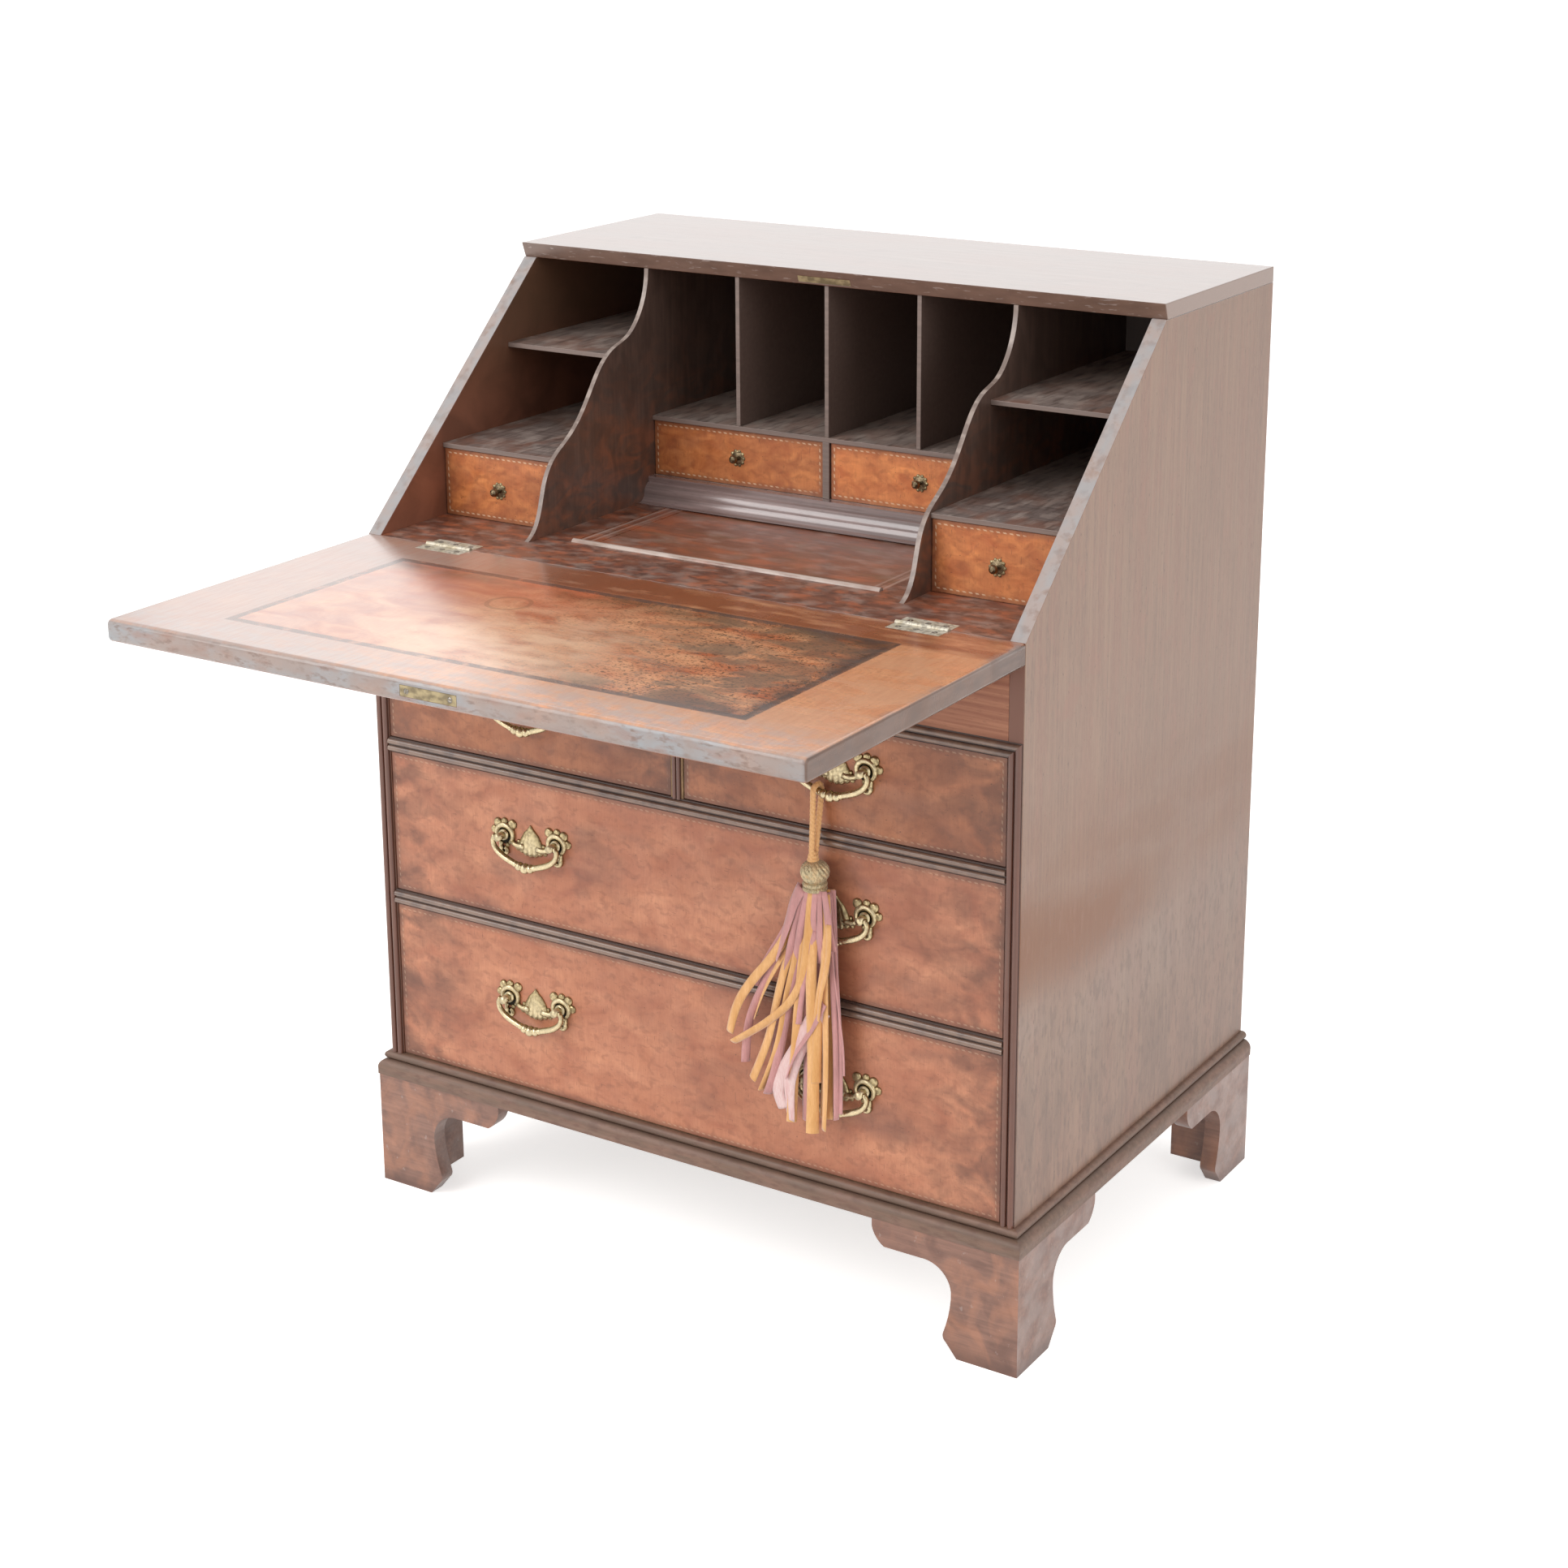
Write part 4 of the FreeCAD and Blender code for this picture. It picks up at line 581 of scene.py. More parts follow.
class BUREAU_OT_desk(bpy.types.Operator):
    """Finishes the fitted interior above the writing level"""
    bl_idname = "bureau.desk"
    bl_label = "Finish the desk interior"

    def execute(self, context):
        case, shades = context.scene.bureau.case, context.scene.bureau.desk
        # Small drawers are burr walnut, waxed and little worn: fine orange-brown mottle. Each takes
        # a share of brightness as painted light and shade: the one on the right of the middle is
        # painted brightest.
        for index, (node, lit) in enumerate(zip(SMALL_DRAWERS, (1.03, 1.08, 0.94, 1.22))):
            figured_front("burr", node, darker(shades.drawer_pale, lit),
                          darker(shades.drawer_deep, lit), case, 40 + index * 13.0, scale=0.4,
                          smoky=0.3, bright=0.6)
        self.dividers(shades)
        self.shelves(shades)
        self.step(shades)
        self.cover(shades)
        # The writing level is walnut, waxed over old ink: brown, blotched red and black.
        wood = plain_wood("waxed_walnut_floor", shades.floor, 0.7, 0, 0.4, coat=0.15)
        wood.lay(darker(shades.floor, 0.45), 0.5, ((60, 26, 40), 0.36, 0.62, 5, 1.0, 4))
        wood.lay(shades.flame, 0.75, ((70, 20, 40), 0.46, 0.62, 6, 0, 14))
        wood.lay(shades.cover_lip, 0.3, ((26, 18, 18), 0.46, 0.68, 6, 0, 24))
        wood.lay(shades.fall_deep, 0.45, ((22, 14, 18), 0.5, 0.66, 6, 0, 44))
        wood.lay(darker(shades.floor, 0.3), 0.6, ((12, 9, 13), 0.52, 0.66, 5, 0, 34))
        wood.lay(case.wear_and_sheen, 0.6, wood.facing(1, -1), ((40, 10, 6), 0.4, 0.6))
        dress(wood.done(), "desk_floor")
        soften(0.5 * MM, "desk_floor", "pigeonhole_dividers", "centre_drawer_divider",
               "centre_shelves", "side_shelves", *SMALL_DRAWERS)
        return {"FINISHED"}

    def dividers(self, shades):
        """Thin walnut, fumed and dusty: dark faces, and pale rubbed front edges with glints of
        painted highlight.
        """
        wood = plain_wood("fumed_walnut", shades.divider, 0.72, 2, 0.36, coat=0.2)
        across = wood.put("Math", {"operation": "ABSOLUTE"}, {0: wood.face[0]})
        edge = wood.ramp(across, 0.75, 0.4)
        wood.lay(shades.flame, 0.7, ((30, 40, 22), 0.4, 0.62, 6, 1.4, 12),
                 wood.rising(2, 0.94, 0.76))
        wood.lay(darker(shades.divider, 0.45), 0.5, ((16, 18, 40), 0.44, 0.62, 5, 0.8, 32))
        wood.lay(shades.wave_edge, 0.75, edge)
        # Painted highlight: pale glints along the front edges.
        wood.lay(shades.cover_lip, 0.4, edge, ((20, 9, 26), 0.46, 0.6, 3, 0, 2))
        dress(wood.done(), "serpentine_dividers")

    def shelves(self, shades):
        """Walnut shelves, waxed once and dusty since: pale grey above, dark on their sides."""
        lip, dark = shades.cover_lip, shades.divider
        wood = plain_wood("dusty_walnut_shelf", shades.shelf, 0.6, 0, 0.5)
        upward = wood.facing(2, 1)
        wood.lay(darker(shades.flame, 0.8), 0.6, upward, ((40, 60, 40), 0.44, 0.62, 5, 0.8, 8))
        wood.lay(lip, 0.35, upward, ((16, 30, 20), 0.48, 0.66, 6, 0, 18))
        wood.lay(lip, 0.4, upward, wood.rising(1, 0.08, 0.34))
        wood.lay(darker(dark, 0.5), 0.6, upward, ((5, 34, 5), 0.5, 0.66, 4, 0, 28))
        for way in (1, -1):
            wood.lay(darker(dark, 0.9), 0.8, wood.facing(0, way))
        wood.lay(shades.wave_edge, 0.4, wood.facing(1, -1))
        dress(wood.done(), "side_shelves", "centre_shelves", "centre_drawer_divider",
              "pigeonhole_dividers")

    def step(self, shades):
        """Ebonised cushion moulding, burnished, with a long highlight. Its ground is lightened from
        near black-brown to pale mauve-grey as painted highlight, over the real gloss of its coat.
        """
        wood = plain_wood("burnished_walnut_step", shades.step, 0.6, 0, 0.2, coat=0.9)
        wood.lay(darker(shades.step, 0.5), 0.5, ((60, 12, 12), 0.5, 0.68, 5, 0, 6))
        dress(wood.done(), "cushion_step")

    def cover(self, shades):
        """Walnut cover with a rubbed lip along the front and a dark groove inside it."""
        low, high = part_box("well_cover")
        lip, field = shades.cover_lip, shades.cover
        wood = plain_wood("waxed_walnut_cover", field, 0.66, 0, 0.34, coat=0.25)
        wood.lay(darker(field, 0.55), 0.6, ((50, 30, 50), 0.42, 0.62, 6, 1.0))
        wood.lay(lip, 0.3, ((34, 20, 26), 0.48, 0.68, 6, 0, 35))
        wood.lay(shades.fall_deep, 0.45, ((40, 24, 26), 0.48, 0.66, 6, 0, 45))
        wood.lay(shades.fall_stain, 0.5, ((70, 24, 40), 0.54, 0.66, 6, 0, 25))
        distance = wood.rim(low, high, (0, 1))
        for inset, width, strength in ((3, 3, 0.45), (14, 2.4, 0.35)):
            wood.lay(lip, strength, wood.line(distance, inset * MM, width * MM))
        wood.lay(lip, 0.9, wood.rising(1, low.y + 11 * MM, low.y + 9 * MM),
                 ((40, 12, 12), 0.3, 0.6, 4, 0, 5))
        wood.lay(darker(field, 0.3), 0.8, wood.line(distance, 10 * MM, 1.2 * MM))
        dress(wood.done(), "well_cover")
        soften(0.8 * MM, "well_cover")


# Middles of the painted highlight and of a glass's ring on the fall, in metres.
HIGHLIGHT_SPOT, GLASS_RING = (-0.01, -0.33, 0.73), (-0.095, -0.214, 0.73)
# The fall's crossbanded border, the dark band inside it, and how much wider the ends' are.
BORDER_WIDTH, BAND_MIDDLE, BAND_WIDTH, END_MORE = 58 * MM, 62 * MM, 8.5 * MM, 36 * MM


class BUREAU_OT_fall(bpy.types.Operator):
    """Finishes the fall and the two slides that carry it"""
    bl_idname = "bureau.fall"
    bl_label = "Finish the fall"

    def execute(self, context):
        case, shades = context.scene.bureau.case, context.scene.bureau.desk
        low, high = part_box("fall_panel")
        # Fall is walnut veneer, French polished and written on for long: a red figured
        # field, a dark inlaid band, a crossbanded border and old ink and water marks.
        wood = Finish("french_polished_walnut", shades.fall_deep, 0.26, coat=0.7)
        self.field(wood, shades, low, high)
        self.border(wood, case, shades, low, high)
        self.edges(wood, case, shades, low, high)
        wood.polish(wood.facing(2, 1), 0.6)
        dress(wood.done(), "fall_panel")
        soften(1.4 * MM, "fall_panel")
        # Slides are oak, waxed and rubbed by the fall: red-brown with grain along them.
        slide = plain_wood("waxed_oak_slide", case.inside, 0.75, 1, 0.45)
        dress(slide.done(), "loper_left", "loper_right")
        return {"FINISHED"}

    def field(self, wood, shades, low, high):
        """Red figure, a painted highlight in the middle and stained to the right."""
        deep, stain = shades.fall_deep, shades.fall_stain
        wood.lay(shades.fall_pale, 1.0, ((64, 40, 60), 0.34, 0.66, 6, 1.2, 3))
        wood.lay(darker(deep, 0.75), 0.25, ((4, 40, 40), 0.35, 0.7, 3, 2.0, 5))
        wood.lay(shades.fall_red, 0.7, wood.rising(0, 0.06, -0.06),
                 wood.rising(1, -0.30, -0.16), ((70, 60, 60), 0.3, 0.56, 5, 0, 61))
        stained = wood.both(((74, 40, 60), 0.42, 0.58, 8, 0.8, 12), wood.rising(0, -0.04, 0.12))
        wood.lay(stain, 0.75, stained)
        wood.gloss(stained, 0.2, 0.36)
        # Pen marks and specks are under 1 mm in life and drawn 2 to 3 mm wide.
        for size, start in (((3, 2.2, 3), 0.58), ((16, 1.6, 9), 0.62), ((1.6, 12, 9), 0.66),
                            ((6, 4, 6), 0.61)):
            wood.lay(darker(stain, 0.4), 0.7, (size, start, start + 0.05, 2, 0, size[0] * 3),
                     wood.rising(0, -0.2, 0.16))
        # Painted highlight: a pale peach patch round the middle of the fall.
        wood.lay(shades.fall_highlight, 0.75,
                 wood.ramp(wood.away(HIGHLIGHT_SPOT), 0.19, 0.03),
                 ((50, 26, 50), 0.26, 0.6, 6, 0, 71))
        wood.lay(darker(stain, 0.8), 0.8, wood.ramp(wood.rim(low, high, (1,)), 0.11, 0.06),
                 ((60, 30, 30), 0.36, 0.6, 6, 0, 33), wood.rising(1, -0.30, -0.20))
        # A glass once stood here: its ring has stayed.
        glass = wood.away(GLASS_RING)
        wood.lay(stain, 0.3, wood.line(glass, 21 * MM, 4.5 * MM))

    def border(self, wood, case, shades, low, high):
        """A crossbanded border and a dark band, faded on the left and burnt on the right."""
        deep, worn = shades.fall_deep, case.wear_and_sheen
        end_more = Vector((END_MORE, 0, 0))
        inset = wood.rim(low + end_more, high - end_more, (0, 1))
        border = wood.ramp(inset, BORDER_WIDTH + 0.5 * MM, BORDER_WIDTH - 0.5 * MM)
        wood.lay(shades.fall_pale, 0.65, border)
        # Years of window light took the red out of the left end and the front border.
        wood.lay(worn, 0.35, wood.rising(0, -0.06, -0.26), ((40, 30, 40), 0.24, 0.6, 6, 0, 91))
        wood.lay(darker(worn, 0.8), 0.6, border, wood.rising(0, 0.10, -0.25))
        wood.lay(worn, 0.7, border, ((18, 12, 18), 0.36, 0.6, 6, 0, 93),
                 wood.rising(1, high.y - 0.29, low.y + 0.02))
        wood.lay(darker(deep, 0.42), 0.85, wood.rising(1, high.y - 0.068, high.y - 0.052),
                 wood.rising(0, -0.24, -0.08), ((50, 14, 40), 0.22, 0.5, 6, 0, 81))
        wood.lay(darker(deep, 0.8), 0.2, border, ((3, 30, 30), 0.4, 0.66, 3, 0, 21))
        wood.lay(shades.fall_band, 0.8, wood.line(inset, BAND_MIDDLE, BAND_WIDTH),
                 ((12, 12, 12), 0.2, 0.5, 4, 0, 41))
        wood.lay(darker(shades.fall_band, 0.7), 0.8, wood.ramp(inset, 0.095, 0.066),
                 wood.ramp(inset, BORDER_WIDTH, 0.064), wood.rising(0, 0.16, 0.24),
                 ((22, 22, 22), 0.3, 0.56, 6, 0, 95))

    def edges(self, wood, case, shades, low, high):
        """Edges worn grey-blue in front, both ends darkened for end grain and as painted shade, and
        a warm underside.
        """
        edge = case.top_edge
        front = wood.facing(1, -1, 0.6, 0.8)
        wood.lay(shades.fall_edge, 0.85, front)
        wood.lay(shades.fall_blue, 0.75, front, ((80, 30, 44), 0.44, 0.6, 6, 0, 51))
        wood.lay(case.foot, 0.5, front, ((26, 10, 9), 0.5, 0.66, 6, 0, 54))
        wood.lay(edge, 0.6, front, ((9, 10, 4), 0.52, 0.66, 6, 0, 55))
        wood.lay(shades.fall_edge, 0.6, wood.ramp(wood.rim(low, high, (0, 1)), 0.01, 0.0),
                 ((26, 26, 26), 0.4, 0.6))
        # Both ends are darkened: end grain, and painted shade.
        for way in (1, -1):
            wood.lay(darker(edge, 0.55), 0.9, wood.facing(0, way))
            wood.lay(darker(edge, 1.2), 0.5, wood.facing(0, way),
                     ((20, 40, 8), 0.4, 0.64, 5, 0, 58))
        wood.lay(case.inside, 0.8, wood.facing(2, -1))


class BUREAU_OT_brass(bpy.types.Operator):
    """Finishes knobs, hinges and lock plates"""
    bl_idname = "bureau.brass"
    bl_label = "Finish the brass"

    def execute(self, context):
        shades = context.scene.bureau.metal
        tarnish = shades.tarnish
        # Small knobs are turned bronze, dark with age all over.
        knob = aged_brass("patinated_bronze_knob", shades.bronze, shades.aged, tarnish, 0.4,
                          -0.4, 0.3)
        # Each small knob stands on a thin rose of the same metal, paler than the knob, with patchy
        # tarnish.
        rose = Finish("rubbed_bronze_rose", shades.aged, 0.4, metallic=0.6)
        rose.lay(tarnish, 0.75, ((4, 4, 4), 0.4, 0.6, 4, 0, 7))
        rose_metal = rose.done()
        for drawer in SMALL_DRAWERS:
            held = drawer.replace("drawer", "knob")
            dress(knob, held)
            low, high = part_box(held)
            new_piece(f"{held}_rose", rose_metal, drawer, "handle_brass", self.rose,
                      (low + high) / 2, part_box(drawer)[0].y)
        # Hinges and lock plates are rolled brass gone grey and spotted: little shine is left.
        dull = Finish("rolled_brass_hinge", shades.hinge, 0.45, metallic=0.35)
        dull.lay(tarnish, 0.5, ((4, 4, 4), 0.46, 0.6, 4, 0, 3))
        dull.lay(shades.aged, 0.4, ((14, 14, 14), 0.45, 0.6))
        dress(dull.done(), "desk_hinge_leaves", "fall_hinge_leaves")
        # The lock's plates are browner: they get the grease of hands.
        greasy = Finish("greasy_lock_brass", darker(shades.aged, 0.85), 0.5, metallic=0.3)
        greasy.lay(tarnish, 0.6, ((9, 6, 6), 0.42, 0.62, 5, 0, 5))
        dress(greasy.done(), "fall_lock", "lock_strike")
        return {"FINISHED"}

    def rose(self, built, middle, face):
        """A thin disc with ten lobes round its rim."""
        dome(built, middle.x, face, middle.z, 8.2, 1.6)
        for turn in circle(10):
            dome(built, middle.x + 7.6 * MM * math.cos(turn), face,
                 middle.z + 7.6 * MM * math.sin(turn), 2.0, 1.4)


def new_piece(name, material, body, slot_name, maker, *inputs):
    """A mesh piece from its maker and what that needs, with its material and body. Its slot name is
    not used.
    """
    mesh = bpy.data.meshes.new(name)
    built = bmesh.new()
    maker(built, *inputs)
    bmesh.ops.recalc_face_normals(built, faces=built.faces)
    built.to_mesh(mesh)
    built.free()
    piece = bpy.data.objects.new(name, mesh)
    bpy.context.scene.collection.objects.link(piece)
    piece.data.materials.append(material)
    for polygon in mesh.polygons:
        polygon.use_smooth = True
    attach(piece, body)
    return piece


def circle(sides):
    """Angles of evenly spaced places round a circle."""
    return [2 * math.pi * side / sides for side in range(sides)]


def skin(built, rings, closed=True):
    """Faces between rows of points, each row a ring or an open line."""
    for first, second in zip(rings, rings[1:]):
        for side in range(len(first) if closed else len(first) - 1):
            after = (side + 1) % len(first)
            built.faces.new([first[side], first[after], second[after], second[side]])


def cap(built, rings):
    """Flat faces that close the first and the last ring."""
    built.faces.new(rings[0])
    built.faces.new(rings[-1])


def slotted_head(built, centre, up, radius, turn, rise):
    """A countersunk screw head: domed by rise of its radius, with a slot across it."""
    upward = Vector(up).normalized()
    across = upward.orthogonal().normalized()
    across.rotate(Quaternion(upward, turn))
    other = upward.cross(across)
    half_slot, depth, dome = radius * 0.13, radius * 0.28, radius * rise
    steps = 14

    def corner(x, y, lift):
        return built.verts.new(Vector(centre) + across * x + other * y + upward * lift)

    start = math.asin(half_slot / radius)
    for side in (1, -1):
        rim, foot = [], []
        for step in range(steps + 1):
            angle = start + (math.pi - 2 * start) * step / steps
            x, y = radius * math.cos(angle), side * radius * math.sin(angle)
            rim.append(corner(x, y, 0))
            foot.append(corner(x, y, -depth))
        crown = [corner(v, side * radius * 0.45, dome) for v in (radius * 0.5, -radius * 0.5)]
        inner = [corner(v, side * half_slot, dome * 0.9) for v in (radius * 0.6, -radius * 0.6)]
        half = steps // 2
        for corners in (rim[:half + 1] + [crown[1], crown[0]], rim[half:] + [crown[1]],
                        [rim[0], crown[0], inner[0]], [rim[-1], inner[1], crown[1]],
                        [crown[0], crown[1], inner[1], inner[0]]):
            built.faces.new(corners)
        for index in range(steps):
            built.faces.new([rim[index], rim[index + 1], foot[index + 1], foot[index]])
        built.faces.new([rim[0], inner[0], inner[1], rim[-1], foot[-1], foot[0]])
    built.faces.new([corner(radius * math.cos(a), radius * math.sin(a), -depth * 0.8)
                     for a in circle(24)])


# Screws of a hinge leaf: half the leaf's width, their pitch and how far in from its edge.
HINGE_HALF, SCREW_PITCH, SCREW_INSET = 28 * MM, 19 * MM, 9 * MM
LOCK_INSET = 7 * MM
# Small drawers slide 0.3 mm above the hinges, so their screws' heads are filed flat.
HINGE_SCREW_RISE, LOCK_SCREW_RISE = 0.03, 0.1


class BUREAU_OT_screws(bpy.types.Operator):
    """Adds the slotted screws of the hinges and lock plates"""
    bl_idname = "bureau.screws"
    bl_label = "Add the screws"

    def execute(self, context):
        shades = context.scene.bureau.metal
        radius = shades.screw_radius
        # Screws are turned steel, blued once and worn to grey in the slot.
        steel = Finish("worn_steel_screw", shades.steel, 0.38, metallic=1.0)
        steel.lay(darker(shades.steel, 0.35), 0.6, ((1.5, 1.5, 1.5), 0.45, 0.65))
        material = steel.done()
        hinge_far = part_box("desk_hinge_leaves")[1]
        reach = hinge_far.x - HINGE_HALF
        top_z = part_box("desk_floor")[1].z + 0.04 * MM
        for name, body, y in (
                ("desk_hinge_screws", "carcass", hinge_far.y - SCREW_INSET),
                ("fall_hinge_screws", "fall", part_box("fall_hinge_leaves")[0].y + SCREW_INSET)):
            turns = random.Random(name)
            heads = [((side * reach + shift, y, top_z), turns.uniform(0, math.pi))
                     for side in (-1, 1) for shift in (-SCREW_PITCH, 0, SCREW_PITCH)]
            new_piece(name, material, body, "hinge_brass", self.heads, heads, (0, 0, 1),
                      radius, HINGE_SCREW_RISE)
        low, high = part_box("fall_lock")
        heads = [((x, low.y - 0.1 * MM, (low.z + high.z) / 2), turn)
                 for x, turn in ((low.x + LOCK_INSET, 0.6), (high.x - LOCK_INSET, 2.2))]
        new_piece("lock_screws", material, "fall", "hinge_brass", self.heads, heads,
                  (0, -1, 0), radius * 0.9, LOCK_SCREW_RISE)
        return {"FINISHED"}

    def heads(self, built, places, up, radius, rise):
        """Screw heads, each with its place and the turn of its slot."""
        for centre, turn in places:
            slotted_head(built, centre, up, radius, turn, rise)


# How far forward the tassel hangs, in metres.
TASSEL_Y = -0.0976
# The key cord's route along Y and Z in metres: up from the head, over the bail and down.
CORD_X = 0.1685
CORD_ROUTE = ((-0.1006, 0.4875), (-0.0988, 0.5180), (-0.0975, 0.5480), (-0.0977, 0.5622),
              (-0.0825, 0.5622), (-0.0828, 0.5480), (-0.0888, 0.5180), (-0.0945, 0.4875))


def route_points(name, points):
    """Points along the smooth line of a route, from its own spline."""
    curve = bpy.data.curves.new(name, "CURVE")
    curve.dimensions = "3D"
    curve.resolution_u = 24
    spline = curve.splines.new("NURBS")
    spline.points.add(len(points) - 1)
    for point, place in zip(spline.points, points):
        point.co = (*place, 1.0)
    spline.order_u = 3
    spline.use_endpoint_u = True
    holder = bpy.data.objects.new(name, curve)
    bpy.context.scene.collection.objects.link(holder)
    bpy.context.view_layer.update()
    mesh = bpy.data.meshes.new_from_object(holder)
    found = [v.co.copy() for v in mesh.vertices]
    bpy.data.objects.remove(holder)
    bpy.data.meshes.remove(mesh)
    bpy.data.curves.remove(curve)
    return found


def evenly(points, gap):
    """The same line with points a gap apart."""
    placed, left = [points[0]], gap
    for first, second in zip(points, points[1:]):
        run = second - first
        walked = 0.0
        while run.length - walked >= left:
            walked += left
            placed.append(first + run * (walked / run.length))
            left = gap
        left -= run.length - walked
    placed.append(points[-1])
    return placed


def heading(line, index):
    """The way a line runs at one of its points."""
    return (line[min(index + 1, len(line) - 1)] - line[max(index - 1, 0)]).normalized()


def tube(built, line, reach, sides=14):
    """A round bar along a line. Its radius in millimetres comes from reach, by the share of
    the way, or is reach."""
    rings = []
    for index, place in enumerate(line):
        along = heading(line, index)
        sideways = Vector((0, -1, 0)).cross(along)
        sideways = sideways.normalized() if sideways.length > 0.1 else Vector((1, 0, 0))
        outward = along.cross(sideways).normalized()
        radius = (reach(index / (len(line) - 1)) if callable(reach) else reach) * MM
        rings.append([built.verts.new(place + sideways * radius * math.cos(angle)
                                      + outward * radius * math.sin(angle))
                      for angle in circle(sides)])
    skin(built, rings)
    cap(built, rings)


def dome(built, x, y, z, radius, height, dimple=0.0):
    """A round boss that stands forward from y, with a dimple in its crown. Its radius and
    height are in millimetres."""
    steps = 7
    rings = []
    for step in range(steps):
        turn = math.pi / 2 * step / steps
        sink = dimple * max(0.0, (step / steps - 0.45)) * 2
        across = radius * MM * math.cos(turn)
        rings.append([built.verts.new((x + across * math.cos(angle),
                                       y - height * MM * (math.sin(turn) - sink),
                                       z + across * math.sin(angle)))
                      for angle in circle(20)])
    skin(built, rings)
    cap(built, rings)


def round_line(x, y, z, radius, start, end, tighten):
    """Points on an arc in the front view, angles in degrees, drawn in by tighten at its end."""
    points, steps = [], 28
    for step in range(steps + 1):
        share = step / steps
        angle = math.radians(start + (end - start) * share)
        reach = radius * MM * (1 - tighten * share)
        points.append(Vector((x + reach * math.cos(angle), y, z + reach * math.sin(angle))))
    return points


# Half of a bail's line in millimetres from its middle and the level of its pins.
BAIL_HALF = ((37.6, 0), (39.8, -1.4), (40.8, -5), (39.4, -10.5), (35, -15.5), (28.5, -19.6),
             (21, -22.6), (14.5, -24.8), (7, -27.4), (0, -28.4))
# Swellings along the middle of a bail: distance from the middle, half width and extra radius,
# in millimetres.
BAIL_SWELLS = ((0, 4.2, 3.6), (7.2, 3.4, 2.7), (12.2, 2.2, 1.5))
# Where plates and bails are tarnished and where rubbed bright, along Y in metres.
PLATE_DEPTHS, BAIL_DEPTHS = (-0.0792, -0.0832), (-0.0885, -0.0935)
# Posts of a handle stand this far from its middle, in millimetres.
POST_REACH = 33
# Post, boss and bolt through a drawer front: radius, and from where to where behind its face.
POST_RODS = ((4.0, 0, -16), (5.8, 0, -5), (2.5, 0, 21))
# Knobs of a rosette, out and up from its post: inner top, top and outer ones.
ROSETTE = ((-9.6, 11.8, 5.4, 3.9), (0.4, 13.6, 4.2, 3.4), (8.8, 11.0, 5.2, 3.9),
           (13.4, 2.8, 4.6, 3.4))


